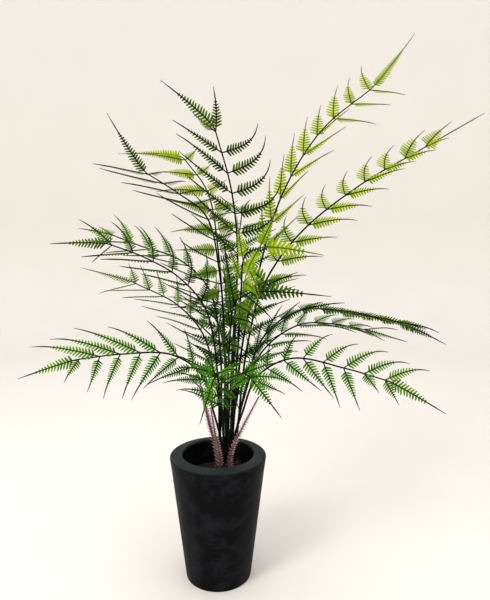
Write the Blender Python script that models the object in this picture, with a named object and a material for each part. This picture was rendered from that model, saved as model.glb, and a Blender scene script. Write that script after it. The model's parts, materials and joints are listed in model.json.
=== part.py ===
# A tall fern in a tapered black pot. Nineteen fronds and four young croziers rise from one
# scaly rootstock, which sits off the pot's middle in dark soil. Each frond is one piece: a dark
# stem that carries pairs of pinnae, each pinna a keeled midrib cut into slanting leaflets and
# drawn out to a long bare tail.
# Metres, +Z up, the origin at the middle of the pot's flat foot, the front towards -Y.

import math

import bmesh
import bpy
import numpy as np
from mathutils.bvhtree import BVHTree

# Pot
POT_HEIGHT = 0.303
FOOT_RADIUS = 0.0786
RIM_RADIUS = 0.1147
RIM_WIDTH = 0.030
RIM_FALL = 0.003
POT_FLOOR = 0.016
INNER_FOOT_RADIUS = 0.056
EDGE_ROUND = 0.004
POT_SIDES = 40

# Soil and rootstock
GAP = 0.0003
SOIL_TOP = 0.246
SOIL_SWELL = 0.003
SOIL_SIDES = 28
STOCK_CENTRE = np.array([0.024, 0.0])
STOCK_RADIUS = 0.033
STOCK_BOTTOM = 0.215
STOCK_TOP = 0.283
STOCK_SCALE_RELIEF = 0.0015
STOCK_SIDES = 20

# Stems
STEM_FOOT = 0.262
STEM_BASE_HALF = 0.0021
STEM_MIDDLE_HALF = 0.0019
STEM_END_HALF = 0.0012
STEM_STRAIGHT_TOP = 0.335
STEM_SPREAD = 1.35
SOCKET_DEPTH = 0.040
HOLE_SIDES = 8
PETIOLE_SEGMENTS = 5
NODE_HALF_LENGTH = 0.0016

# Pinnae and their leaflets
BARE_ROOT = 0.08
COMB_END = 0.70
LEAFLET_LENGTH = 0.0166
ROOT_SHARE = 0.88
LONGEST_SHARE = 0.10
END_SHARE = 0.20
FALL_POWER = 1.7
LEAFLET_SLANT = math.radians(62)
LEAFLET_PITCH = 0.0240
LEAFLET_FALL = 0.10
RIB_HALF_WIDTH = 0.0012
RIB_DEPTH = 0.0017
RIB_LEAST = 0.55
RIB_TAPER = 0.20
FULL_REACH = 0.110
SMALLEST = 0.90
LARGEST = 1.05
END_BEND = 0.15
LAST_GAP = 0.06
MIDDLE_SWELL = 0.12
SPINE_STEPS = 10
SPREAD_WOBBLE = 4
REACH_WOBBLE = 0.06
CURL_WOBBLE = 0.15
DROOP_WOBBLE = 0.10

# Room that a pinna keeps round itself, and the ways it may bend to find that room
ROOM_SIDE = 0.0016
ROOM_HALF_HEIGHT = 0.0024
ROOM_START = 0.11
OWN_STEM_START = 0.25
BENDS = (
    (0, 0, 1.0), (0, 10, 1.0), (0, -10, 1.0), (9, 0, 1.0), (-9, 0, 1.0), (0, 20, 1.0),
    (0, -20, 1.0), (14, 12, 1.0), (14, -12, 1.0), (-12, 14, 0.95), (-12, -14, 0.95),
    (0, 32, 0.95), (0, -32, 0.95), (16, 26, 0.85), (16, -26, 0.85), (-14, 26, 0.8),
    (-14, -26, 0.8), (0, 0, 0.75), (0, 44, 0.8), (0, -44, 0.8), (0, 18, 0.6), (0, -18, 0.6),
    (0, 0, 0.5), (20, 40, 0.5), (20, -40, 0.5),
)

# One row for each frond. slot is the stem's place on the rootstock: ring 0, 1 or 2, and its
# bearing in degrees from +X. rachis holds the points that the stem passes after it leaves the
# straight bundle, tip is the end of its last pinna, and first is where along the stem the
# pinnae start. Left and right are seen from above with the frond pointing away, and aside is
# the way that the right side looks. end_lean turns the last pinna's upper side, and
# end_breadth is how long that pinna's leaflets are beside the usual ones.


def pinnae(reach, spread, curl=0.2, droop=0.1, lean=(0, 0, 0), breadth=1.0):
    """One side's pinnae. reach is their length and spread their angle to the stem in degrees,
    each listed evenly from the lowest pair to the top one. curl is how much they hook towards
    the frond's tip, droop how much they hang, lean the way that they turn their own upper
    sides, and breadth how long their leaflets are beside the usual ones."""
    return dict(reach=reach, spread=spread, curl=curl, droop=droop, lean=lean, breadth=breadth)


FRONDS = (
    dict(name="frond_upright_front", tone="deep", slot=(0, 0),
         rachis=((0.036, -0.030, 0.560), (0.048, -0.055, 0.785), (0.035, -0.070, 0.915),
                 (0.003, -0.090, 1.033)),
         tip=(-0.108, -0.105, 1.130), first=0.665, pairs=7, aside=(1, 0.05, 0.1),
         left=pinnae((0.130, 0.112), (46, 34), curl=0.0, droop=0.0, lean=(0.3, 0, 1.0)),
         right=pinnae((0.105, 0.110, 0.108, 0.088), (84, 82, 82, 84, 88, 90, 18), curl=1.8,
                      droop=0.0),
         end_lean=(0, -0.5, 0)),
    dict(name="frond_lime_tall", tone="lime", slot=(1, 0),
         rachis=((0.060, 0.010, 0.575), (0.095, 0.050, 0.725), (0.155, 0.080, 0.920),
                 (0.255, 0.120, 1.080), (0.380, 0.155, 1.186)),
         tip=(0.495, 0.180, 1.330), first=0.52, pairs=9, aside=(0.7, -0.5, -0.5),
         left=pinnae((0.135, 0.090), (22, 28, 62), curl=0.5, droop=-0.1, lean=(-0.2, -3, 0),
                     breadth=1.3),
         right=pinnae((0.115, 0.095), (46, 38), curl=0.0, droop=0.1, lean=(0, 0.1, 0.4),
                      breadth=0.9),
         end_lean=(-0.2, -1.2, 0.1), end_breadth=0.9),
    dict(name="frond_lime_long", tone="lime", slot=(2, 5),
         rachis=((0.070, 0.018, 0.560), (0.110, 0.028, 0.705), (0.195, 0.040, 0.825),
                 (0.340, 0.060, 0.940), (0.499, 0.080, 1.032)),
         tip=(0.645, 0.100, 1.115), first=0.47, pairs=10, aside=(0.42, -0.85, -0.35),
         left=pinnae((0.110, 0.105, 0.095, 0.100, 0.145), (74, 72, 66, 58, 36), curl=1.2,
                     droop=-0.1, lean=(0, -3, 0), breadth=1.5),
         right=pinnae((0.125, 0.120, 0.100, 0.075, 0.060), (62, 54, 44, 34, 44), curl=0.1,
                      droop=0.35, lean=(0, -0.9, 0.2), breadth=1.1),
         end_lean=(0, 0.4, 0.3), end_breadth=0.65),
    dict(name="frond_dark_high_left", tone="deep", slot=(1, 180),
         rachis=((0.018, -0.018, 0.555), (0.006, -0.024, 0.740), (-0.022, -0.012, 0.860),
                 (-0.090, 0.022, 0.916), (-0.167, 0.060, 0.965)),
         tip=(-0.258, 0.050, 1.103), first=0.50, pairs=9, aside=(0.57, 0.82, 0.08),
         left=pinnae((0.115, 0.140), (74, 68, 62, 56), curl=0.1, droop=0.0, lean=(0, 0.9, 2),
                     breadth=0.8),
         right=pinnae((0.110, 0.085), (80, 84), curl=-0.1, droop=0.0, lean=(0, 0, 0.3)),
         end_lean=(0, -1.5, 0)),
    dict(name="frond_yellow_back", tone="lime", slot=(1, 120),
         rachis=((0.014, 0.042, 0.570), (-0.002, 0.090, 0.785), (-0.030, 0.130, 0.930),
                 (-0.090, 0.160, 1.015)),
         tip=(-0.270, 0.200, 1.035), first=0.54, pairs=8, aside=(0.55, 0.8, 0.1),
         left=pinnae((0.140, 0.145), (104, 80), curl=-0.1, droop=0.0, lean=(0, -1.2, 0),
                     breadth=1.1),
         right=pinnae((0.100, 0.110), (78, 66), curl=0.2, droop=0.0), end_lean=(0, -2, 0.4)),
    dict(name="frond_left_hooked", tone="mid", slot=(2, 155),
         rachis=((0.006, 0.034, 0.520), (-0.022, 0.050, 0.690), (-0.095, 0.062, 0.762),
                 (-0.190, 0.070, 0.795), (-0.262, 0.080, 0.822)),
         tip=(-0.345, 0.090, 0.838), first=0.50, pairs=8, aside=(0.42, 0.85, 0.4),
         left=pinnae((0.110, 0.100), (50, 28), curl=0.1, droop=0.0, lean=(0, 0.8, 1)),
         right=pinnae((0.095, 0.080), (66, 40), curl=1.0, droop=-0.1, lean=(0, -0.9, 0)),
         end_lean=(0, -0.6, 0)),
    dict(name="frond_left_dark", tone="deep", slot=(2, 185),
         rachis=((0.002, -0.028, 0.490), (-0.022, -0.060, 0.655), (-0.078, -0.082, 0.728),
                 (-0.145, -0.100, 0.770), (-0.215, -0.112, 0.798)),
         tip=(-0.335, -0.130, 0.800), first=0.44, pairs=9, aside=(0.4, 0.85, 0.35),
         left=pinnae((0.120, 0.105), (50, 30), curl=0.1, droop=0.1, lean=(0, 0.6, 0.8)),
         right=pinnae((0.110, 0.105, 0.090, 0.100), (84, 80, 78, 76, 40), curl=1.4, droop=-0.2,
                      lean=(0, -0.9, 0)),
         end_lean=(0, -0.5, 0)),
    dict(name="frond_left_pale", tone="pale", slot=(2, 125),
         rachis=((-0.006, 0.066, 0.440), (-0.040, 0.096, 0.570), (-0.110, 0.125, 0.645),
                 (-0.225, 0.165, 0.697)),
         tip=(-0.380, 0.215, 0.735), first=0.45, pairs=8, aside=(0.4, 0.8, 0.5),
         left=pinnae((0.118, 0.095), (54, 34), curl=0.1, droop=0.1, lean=(0, 0.6, 0.8)),
         right=pinnae((0.105, 0.065), (60, 32), curl=0.4, droop=-0.1, lean=(0, -0.9, 0)),
         end_lean=(0, 0, 0)),
    dict(name="frond_low_left", tone="mid", slot=(2, 215),
         rachis=((-0.008, -0.046, 0.420), (-0.034, -0.074, 0.515), (-0.095, -0.100, 0.563),
                 (-0.195, -0.130, 0.570), (-0.281, -0.144, 0.562)),
         tip=(-0.400, -0.160, 0.525), first=0.46, pairs=8, aside=(0.0, 0.3, 0.95),
         left=pinnae((0.105, 0.100, 0.100, 0.085, 0.065), (50, 58, 64, 66, 58), curl=0.0,
                     droop=0.2, breadth=0.85),
         right=pinnae((0.080, 0.095, 0.120, 0.135, 0.125), (40, 31, 25, 23, 26), curl=0.0,
                      droop=0.35, lean=(0, 0, 0.8)),
         end_lean=(0, 0, 0.4)),
    dict(name="frond_right_arch_high", tone="deep", slot=(2, 335),
         rachis=((0.062, -0.012, 0.450), (0.108, -0.002, 0.585), (0.195, 0.014, 0.645),
                 (0.305, 0.030, 0.637), (0.435, 0.048, 0.612)),
         tip=(0.560, 0.062, 0.553), first=0.42, pairs=9, aside=(0.1, -1, 0.1),
         left=pinnae((0.105, 0.105), (50, 26), curl=0.3, droop=0.1, lean=(0, -1.5, 0)),
         right=pinnae((0.105, 0.105), (56, 26), curl=0.3, droop=0.3, lean=(0, -1.0, 0)),
         end_lean=(0, -1.5, 0)),
    dict(name="frond_right_arch_low", tone="mid", slot=(2, 35),
         rachis=((0.060, 0.050, 0.415), (0.108, 0.090, 0.530), (0.205, 0.130, 0.592),
                 (0.300, 0.155, 0.590), (0.385, 0.172, 0.572)),
         tip=(0.505, 0.190, 0.535), first=0.44, pairs=8, aside=(0.1, -0.95, -0.3),
         left=pinnae((0.105, 0.100), (54, 30), curl=0.3, droop=0.3, lean=(0, -0.7, 0)),
         right=pinnae((0.115, 0.095), (58, 40), curl=0.2, droop=0.4, lean=(0, 0.1, 0.5)),
         end_lean=(0, -0.2, 0)),
    dict(name="frond_low_right", tone="mid", slot=(2, 305),
         rachis=((0.058, -0.044, 0.415), (0.092, -0.074, 0.508), (0.165, -0.102, 0.555),
                 (0.275, -0.132, 0.540), (0.356, -0.149, 0.519)),
         tip=(0.470, -0.180, 0.458), first=0.45, pairs=8, aside=(-0.2, -0.35, -0.9),
         left=pinnae((0.060, 0.060, 0.075, 0.094, 0.090), (62, 56, 52, 50, 38), curl=0.4,
                     droop=0.6),
         right=pinnae((0.095, 0.098, 0.088, 0.076), (52, 50, 48, 38), curl=0.0, droop=0.1),
         end_lean=(0, 0, 0)),
    dict(name="frond_front_right", tone="mid", slot=(2, 275),
         rachis=((0.044, -0.062, 0.440), (0.058, -0.115, 0.525), (0.072, -0.170, 0.533)),
         tip=(0.137, -0.200, 0.456), first=0.52, pairs=6, aside=(-0.8, -0.3, -0.5),
         left=pinnae((0.100, 0.090), (60, 48), curl=0.1, droop=0.3, lean=(0, -1.6, 0)),
         right=pinnae((0.100, 0.090), (60, 48), curl=0.1, droop=0.6, lean=(0, -1.6, 0)),
         end_lean=(0, -2, 0)),
    dict(name="frond_front_left", tone="mid", slot=(2, 245),
         rachis=((0.012, -0.068, 0.445), (0.006, -0.125, 0.525), (0.004, -0.170, 0.535)),
         tip=(-0.024, -0.220, 0.450), first=0.54, pairs=6, aside=(-0.9, 0.3, 0.1),
         left=pinnae((0.100, 0.090), (60, 44), curl=0.1, droop=1.2, lean=(0, -1.6, 0)),
         right=pinnae((0.105, 0.090), (60, 44), curl=0.1, droop=0.5, lean=(0, -1.6, 0)),
         end_lean=(0, -2, 0)),
    dict(name="frond_front_lime", tone="lime", slot=(1, 300),
         rachis=((0.048, -0.062, 0.560), (0.056, -0.100, 0.700), (0.066, -0.130, 0.778),
                 (0.096, -0.142, 0.792)),
         tip=(0.220, -0.170, 0.777), first=0.66, pairs=5, aside=(0.35, -0.9, -0.2),
         left=pinnae((0.115, 0.100), (68, 60), curl=0.2, droop=0.1, lean=(0, -1.4, 0)),
         right=pinnae((0.115, 0.100), (72, 76, 112), curl=0.0, droop=0.9, lean=(0, -1.4, 0)),
         end_lean=(0, -1.5, 0), end_breadth=1.3),
    dict(name="frond_front_mid", tone="deep", slot=(1, 240),
         rachis=((0.026, -0.062, 0.500), (0.034, -0.105, 0.620), (0.044, -0.130, 0.680),
                 (0.066, -0.140, 0.697)),
         tip=(0.238, -0.160, 0.694), first=0.50, pairs=8, aside=(0.3, -0.9, -0.3),
         left=pinnae((0.115, 0.125), (70, 26), curl=0.1, droop=0.1, lean=(0, -1.6, 0)),
         right=pinnae((0.115, 0.100), (70, 60), curl=0.1, droop=0.3, lean=(0, -1.4, 0)),
         end_lean=(0, -1.5, 0), end_breadth=1.3),
    dict(name="frond_back_left", tone="deep", slot=(2, 95),
         rachis=((0.018, 0.082, 0.500), (-0.015, 0.165, 0.610), (-0.065, 0.270, 0.635)),
         tip=(-0.110, 0.400, 0.590), first=0.48, pairs=6, aside=(0.95, 0.3, 0),
         left=pinnae((0.120, 0.095), (62, 54), droop=0.2),
         right=pinnae((0.120, 0.095), (62, 54), droop=0.2), end_lean=(0, 0, 0)),
    dict(name="frond_back_right", tone="deep", slot=(2, 65),
         rachis=((0.052, 0.090, 0.510), (0.085, 0.180, 0.645), (0.130, 0.300, 0.675)),
         tip=(0.190, 0.425, 0.635), first=0.48, pairs=6, aside=(0.9, -0.4, 0),
         left=pinnae((0.120, 0.095), (62, 54), droop=0.2),
         right=pinnae((0.120, 0.095), (62, 54), droop=0.2), end_lean=(0, 0, 0)),
    dict(name="frond_back_high", tone="mid", slot=(1, 60),
         rachis=((0.040, 0.072, 0.590), (0.046, 0.140, 0.785), (0.056, 0.235, 0.885)),
         tip=(0.080, 0.360, 0.930), first=0.52, pairs=6, aside=(1, 0, 0),
         left=pinnae((0.120, 0.095), (62, 54), droop=0.2),
         right=pinnae((0.120, 0.095), (62, 54), droop=0.2), end_lean=(0, 0, 0)),
)
RING_RADII = (0.0, 0.0077, 0.0154)

# Young croziers: bristly stalks that taper from the rootstock's edge to a thin tip
CROZIERS = (
    dict(name="crozier_left_tall",
         path=((0.0015, -0.007, 0.262), (-0.003, -0.010, 0.310), (-0.019, -0.014, 0.372),
               (-0.029, -0.018, 0.422), (-0.041, -0.022, 0.468), (-0.058, -0.024, 0.486))),
    dict(name="crozier_left_fork",
         path=((0.0015, 0.006, 0.262), (-0.004, 0.008, 0.310), (-0.020, 0.010, 0.372),
               (-0.034, 0.013, 0.430), (-0.050, 0.014, 0.500))),
    dict(name="crozier_left_short",
         path=((0.008, -0.019, 0.262), (0.004, -0.024, 0.310), (-0.006, -0.030, 0.365),
               (-0.015, -0.034, 0.425))),
    dict(name="crozier_right",
         path=((0.029, -0.0235, 0.262), (0.031, -0.028, 0.310), (0.056, -0.032, 0.372),
               (0.080, -0.036, 0.420), (0.096, -0.040, 0.452))),
)
CROZIER_BASE_HALF = 0.0022
CROZIER_END_HALF = 0.0011
CROZIER_SEGMENTS = 11
BRISTLE_LENGTH = 0.0085

COLOURS = {
    "deep": (0.012, 0.060, 0.010),
    "mid": (0.035, 0.140, 0.020),
    "pale": (0.110, 0.230, 0.060),
    "lime": (0.200, 0.330, 0.020),
    "pot": (0.013, 0.013, 0.016),
    "soil": (0.020, 0.014, 0.010),
    "stock": (0.045, 0.028, 0.020),
    "crozier": (0.300, 0.170, 0.150),
}


def make_material(name, colour, roughness):
    material = bpy.data.materials.new(name)
    material.use_nodes = True
    shader = material.node_tree.nodes["Principled BSDF"]
    shader.inputs["Base Color"].default_value = (*colour, 1.0)
    shader.inputs["Roughness"].default_value = roughness
    shader.inputs["Metallic"].default_value = 0.0
    return material


def make_object(name, bm, material, smooth_angle=None):
    """The finished bmesh as one named object with its faces pointing outwards."""
    bmesh.ops.recalc_face_normals(bm, faces=bm.faces)
    mesh = bpy.data.meshes.new(name)
    bm.to_mesh(mesh)
    bm.free()
    mesh.materials.append(material)
    if smooth_angle is not None:
        mesh.shade_smooth()
        mesh.set_sharp_from_angle(angle=smooth_angle)
    piece = bpy.data.objects.new(name, mesh)
    bpy.context.scene.collection.objects.link(piece)
    return piece


def subtract(piece, cutters):
    """Cuts a list of objects out of a piece and removes them."""
    group = bpy.data.collections.new("cutters")
    bpy.context.scene.collection.children.link(group)
    for cutter in cutters:
        group.objects.link(cutter)
    cut = piece.modifiers.new("holes", "BOOLEAN")
    cut.operation = "DIFFERENCE"
    cut.operand_type = "COLLECTION"
    cut.collection = group
    graph = bpy.context.evaluated_depsgraph_get()
    finished = bpy.data.meshes.new_from_object(piece.evaluated_get(graph))
    piece.modifiers.remove(cut)
    piece.data = finished
    for cutter in cutters:
        bpy.data.objects.remove(cutter)
    bpy.data.collections.remove(group)


# Shared geometry of stems and pinnae

def unit(vector):
    return vector / np.linalg.norm(vector)


def smooth_path(points, steps=12):
    """A centripetal Catmull-Rom curve, which passes through the points and never overshoots."""
    points = np.array(points, float)
    ends = [2 * points[0] - points[1]], [2 * points[-1] - points[-2]]
    padded = np.vstack([ends[0], points, ends[1]])
    curve = []
    for a, b, c, d in zip(padded, padded[1:], padded[2:], padded[3:]):
        before, here, after = (math.sqrt(np.linalg.norm(gap)) for gap in (b - a, c - b, d - c))
        leave = c - b + here * ((b - a) / before - (c - a) / (before + here))
        arrive = c - b + here * ((d - c) / after - (d - b) / (here + after))
        for t in np.arange(steps) / steps:
            curve.append(b * (2 * t ** 3 - 3 * t * t + 1) + c * (3 * t * t - 2 * t ** 3)
                         + leave * (t ** 3 - 2 * t * t + t) + arrive * (t ** 3 - t * t))
    curve.append(points[-1])
    return np.array(curve)


def travelled(path):
    steps = np.linalg.norm(np.diff(path, axis=0), axis=1)
    return np.concatenate([[0.0], np.cumsum(steps)])


def upper_sides(path, face):
    """The stem's upper side at each point, carried both ways from the middle with no twist."""
    tangents = np.gradient(path, axis=0)
    tangents /= np.linalg.norm(tangents, axis=1)[:, None]
    middle = int(len(path) * 0.75)
    sides = np.zeros_like(path)
    sides[middle] = unit(face - tangents[middle] * (face @ tangents[middle]))
    for order in (range(middle + 1, len(path)), range(middle - 1, -1, -1)):
        held = sides[middle]
        for i in order:
            held = unit(held - tangents[i] * (held @ tangents[i]))
            sides[i] = held
    return tangents, sides


class Line:
    """A curve that gives its point, heading and upper side at any distance along it."""

    def __init__(self, path, tangents, sides, breadth=1.0):
        self.path, self.tangents, self.sides = path, tangents, sides
        self.along = travelled(path)
        self.length = self.along[-1]
        self.leaf_size = breadth * min(LARGEST, max(SMALLEST, self.length / FULL_REACH))

    def read(self, table, distance):
        return np.array([np.interp(distance, self.along, table[:, axis]) for axis in range(3)])

    def at(self, distance):
        heading = unit(self.read(self.tangents, distance))
        upper = self.read(self.sides, distance)
        upper = unit(upper - heading * (upper @ heading))
        return self.read(self.path, distance), heading, upper, np.cross(heading, upper)


def stem_line(frond):
    ring, bearing = frond["slot"]
    bearing = math.radians(bearing)
    outward = np.array([math.cos(bearing), math.sin(bearing)]) * RING_RADII[ring]
    foot = np.append(STOCK_CENTRE + outward, STEM_FOOT)
    straight_top = np.append(STOCK_CENTRE + outward * STEM_SPREAD, STEM_STRAIGHT_TOP)
    path = smooth_path((foot, straight_top, *frond["rachis"]))
    heading = path[-1] - path[len(path) // 2]
    return Line(path, *upper_sides(path, np.cross(frond["aside"], heading)))


def pinna_line(root, heading, upper, along, reach, curl, droop, breadth):
    """A midrib that leaves along heading, hooks towards the frond's tip and hangs."""
    points = [root]
    for step in range(SPINE_STEPS):
        turn = 3 * (step + 0.5) ** 2 / SPINE_STEPS ** 3
        heading = unit(heading + turn * (curl * along - np.array([0.0, 0.0, droop])))
        points.append(points[-1] + heading * reach / SPINE_STEPS)
    path = np.array(points)
    return Line(path, *upper_sides(path, upper), breadth)


def end_pinna_line(stem, tip, lean, breadth):
    """The last pinna: it carries the stem on and bends over to the frond's tip."""
    root, heading, upper, _ = stem.at(stem.length)
    tip = np.array(tip)
    bend = root + heading * np.linalg.norm(tip - root) * END_BEND
    t = np.linspace(0, 1, SPINE_STEPS + 1)[:, None]
    path = (1 - t) ** 2 * root + 2 * t * (1 - t) * bend + t ** 2 * tip
    return Line(path, *upper_sides(path, unit(upper + np.array(lean, float))), breadth)


def leaflet_length(line, distance):
    """Leaflets are longest near the pinna's root and shorten evenly towards its tail."""
    share = max(0.0, (distance / line.length - BARE_ROOT) / (COMB_END - BARE_ROOT))
    rise = min(1.0, ROOT_SHARE + (1.0 - ROOT_SHARE) * share / LONGEST_SHARE)
    fall = max(0.0, 1.0 - (1.0 - END_SHARE) * share ** FALL_POWER)
    return LEAFLET_LENGTH * line.leaf_size * rise * fall


def read_list(values, share):
    """The value at a share of the way along a list of evenly spaced ones."""
    return np.interp(share, np.linspace(0, 1, len(values)), values)


def room(line, half_widths, half_height, start=0.0):
    """A closed strip round a line, for telling what would cross it."""
    corners, faces = [], []
    distances = np.linspace(start * line.length, line.length, len(half_widths))
    for distance, half in zip(distances, half_widths):
        centre, _, upper, across = line.at(distance)
        for side, lift in ((1, 1), (-1, 1), (-1, -1), (1, -1)):
            corners.append(centre + across * side * half + upper * lift * half_height)
    for ring in range(len(half_widths) - 1):
        for k in range(4):
            a, b = 4 * ring + k, 4 * ring + (k + 1) % 4
            faces.append((a, b, b + 4, a + 4))
    faces.append((3, 2, 1, 0))
    faces.append(tuple(4 * (len(half_widths) - 1) + k for k in range(4)))
    corners = np.array(corners)
    tree = BVHTree.FromPolygons(corners.tolist(), faces)
    return corners.min(axis=0), corners.max(axis=0), tree


def pinna_room(line, start=ROOM_START):
    distances = np.linspace(start * line.length, line.length, SPINE_STEPS + 1)
    halves = []
    for distance in distances:
        behind = distance - LEAFLET_LENGTH * math.cos(LEAFLET_SLANT)
        longest = max(leaflet_length(line, distance), leaflet_length(line, behind))
        halves.append(longest * math.sin(LEAFLET_SLANT) + ROOM_SIDE)
    return room(line, halves, ROOM_HALF_HEIGHT, start)


def crosses(candidate, placed):
    low, high, tree = candidate
    for other_low, other_high, other_tree in placed:
        apart = (low > other_high).any() or (high < other_low).any()
        if not apart and tree.overlap(other_tree):
            return True
    return False


def stem_half(stem, distance, first):
    share = distance / stem.length
    if share < first:
        return np.interp(share, (0, first), (STEM_BASE_HALF, STEM_MIDDLE_HALF))
    return np.interp(share, (first, 1), (STEM_MIDDLE_HALF, STEM_END_HALF))


def lay_out_fronds():
    """Every frond's stem and pinnae, each pinna bent clear of all that is placed before it."""
    stems = {f["name"]: stem_line(f) for f in FRONDS}
    stem_rooms = {}
    for f in FRONDS:
        stem = stems[f["name"]]
        distances = np.linspace(0, stem.length, 33)
        halves = [stem_half(stem, d, f["first"]) + ROOM_SIDE for d in distances]
        stem_rooms[f["name"]] = room(stem, halves, STEM_BASE_HALF + ROOM_SIDE / 2)
    crozier_rooms = []
    for c in CROZIERS:
        line = crozier_line(c)
        crozier_rooms.append(room(line, [BRISTLE_LENGTH] * 12, BRISTLE_LENGTH))
    placed = []
    layout = []
    ends = {}
    for f in FRONDS:
        breadth = f.get("end_breadth", 1.0)
        end = end_pinna_line(stems[f["name"]], f["tip"], f["end_lean"], breadth)
        ends[f["name"]] = end
        placed.append(pinna_room(end))
    for index, f in enumerate(FRONDS):
        stem = stems[f["name"]]
        others = [r for name, r in stem_rooms.items() if name != f["name"]] + crozier_rooms
        own = stem_rooms[f["name"]]
        draws = np.random.default_rng(100 + index)
        first = f["first"] * stem.length
        pitch = (stem.length - first) / (f["pairs"] - 1 + LAST_GAP)
        pairs = []
        for pair in range(f["pairs"]):
            distance = first + pitch * pair
            root, along, upper, across = stem.at(distance)
            share = pair / (f["pairs"] - 1)
            swell = 1 + MIDDLE_SWELL * math.sin(math.pi * share)
            both = []
            for side, sign in ((f["left"], -1), (f["right"], 1)):
                wobble = draws.uniform(-1, 1, 4)
                spread = read_list(side["spread"], share) + SPREAD_WOBBLE * wobble[0]
                reach = read_list(side["reach"], share) * swell * (1 + REACH_WOBBLE * wobble[1])
                curl = side["curl"] + CURL_WOBBLE * wobble[2]
                droop = side["droop"] + DROOP_WOBBLE * wobble[3]
                leaning = unit(upper + np.array(side["lean"], float))
                for turn, lift, scale in BENDS:
                    out = math.radians(spread + turn)
                    heading = math.cos(out) * along + math.sin(out) * sign * across
                    heading = unit(heading + math.tan(math.radians(lift)) * upper)
                    line = pinna_line(root, heading, leaning, along, reach * scale, curl, droop,
                                      side["breadth"])
                    space = pinna_room(line)
                    outer = pinna_room(line, OWN_STEM_START)
                    if not crosses(space, placed + others) and not crosses(outer, [own]):
                        both.append(line)
                        placed.append(space)
                        break
                else:
                    both.append(None)
            pairs.append((distance, both))
        layout.append((f, stem, pairs, ends[f["name"]]))
    return layout


def crozier_line(crozier):
    path = smooth_path(crozier["path"])
    return Line(path, *upper_sides(path, np.array([0.0, -1.0, 0.2])))


# Growing the meshes

def square_ring(bm, line, distance, half):
    """Four corners round a stem: upper right, upper left, lower left, lower right."""
    centre, _, upper, across = line.at(distance)
    ring = []
    for side, lift in ((1, 1), (-1, 1), (-1, -1), (1, -1)):
        ring.append(bm.verts.new(centre + half * (side * across + lift * upper)))
    return ring


def rib_ring(bm, line, distance, half, depth):
    """Three corners round a midrib: upper left, upper right and the keel."""
    centre, _, upper, across = line.at(distance)
    left = bm.verts.new(centre - half * across)
    right = bm.verts.new(centre + half * across)
    return [left, right, bm.verts.new(centre - depth * upper)]


def join_rings(bm, ring, following):
    """The band of faces between two rings, one face for each side."""
    count = len(ring)
    faces = []
    for k in range(count):
        nxt = (k + 1) % count
        faces.append(bm.faces.new((ring[k], ring[nxt], following[nxt], following[k])))
    return faces


def draw_out(bm, face, tip):
    """Raises a side face to a point, which makes one leaflet or bristle."""
    centre = bmesh.ops.poke(bm, faces=[face])["verts"][0]
    centre.co = tip


def grow_pinna(bm, line, corners):
    """A pinna out of four corners on the stem: bare root, leaflets in pairs, bare tail."""
    _, _, upper, across = line.at(0)
    middle = sum((np.array(c.co) for c in corners), np.zeros(3)) / 4
    by_height = sorted(corners, key=lambda c: (np.array(c.co) - middle) @ upper)
    low = sorted(by_height[:2], key=lambda c: (np.array(c.co) - middle) @ across)
    high = sorted(by_height[2:], key=lambda c: (np.array(c.co) - middle) @ across)
    start = BARE_ROOT * line.length
    comb = (COMB_END - BARE_ROOT) * line.length
    count = max(3, round(comb / LEAFLET_PITCH))
    pitch = comb / count
    size = min(1.0, RIB_LEAST + (1 - RIB_LEAST) * line.length / FULL_REACH)
    ring = rib_ring(bm, line, start, RIB_HALF_WIDTH * size, RIB_DEPTH * size)
    bm.faces.new((high[0], high[1], ring[1], ring[0]))
    bm.faces.new((low[0], high[0], ring[0], ring[2]))
    bm.faces.new((high[1], low[1], ring[2], ring[1]))
    bm.faces.new((low[1], low[0], ring[2]))
    for k in range(count):
        taper = size * (1 - RIB_TAPER * (k + 1) / count)
        end = start + pitch
        following = rib_ring(bm, line, end, RIB_HALF_WIDTH * taper, RIB_DEPTH * taper)
        _, right_face, left_face = join_rings(bm, ring, following)
        middle_distance = start + pitch / 2
        centre, heading, upper, across = line.at(middle_distance)
        length = leaflet_length(line, middle_distance)
        for face, sign in ((left_face, -1), (right_face, 1)):
            out = math.cos(LEAFLET_SLANT) * heading + math.sin(LEAFLET_SLANT) * sign * across
            draw_out(bm, face, centre + length * (out - LEAFLET_FALL * upper))
        ring, start = following, end
    tip = bm.verts.new(line.path[-1])
    for k in range(3):
        bm.faces.new((ring[k], ring[(k + 1) % 3], tip))


def grow_frond(frond, stem, pairs, end, material):
    bm = bmesh.new()
    first = frond["first"]
    ring = square_ring(bm, stem, 0, STEM_BASE_HALF)
    bm.faces.new(reversed(ring))
    stops = np.linspace(SOCKET_DEPTH, pairs[0][0] - NODE_HALF_LENGTH, PETIOLE_SEGMENTS)
    for distance in stops:
        following = square_ring(bm, stem, distance, stem_half(stem, distance, first))
        join_rings(bm, ring, following)
        ring = following
    for k, (distance, (left, right)) in enumerate(pairs):
        if k:
            distance_before = distance - NODE_HALF_LENGTH
            half = stem_half(stem, distance_before, first)
            following = square_ring(bm, stem, distance_before, half)
            join_rings(bm, ring, following)
            ring = following
        distance_after = distance + NODE_HALF_LENGTH
        following = square_ring(bm, stem, distance_after, stem_half(stem, distance_after, first))
        sides = join_rings(bm, ring, following)
        for face, grown in ((sides[1], left), (sides[3], right)):
            if grown:
                corners = list(face.verts)
                bm.faces.remove(face)
                grow_pinna(bm, grown, corners)
        ring = following
    following = square_ring(bm, stem, stem.length, STEM_END_HALF)
    join_rings(bm, ring, following)
    grow_pinna(bm, end, following)
    return make_object(frond["name"], bm, material)


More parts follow.
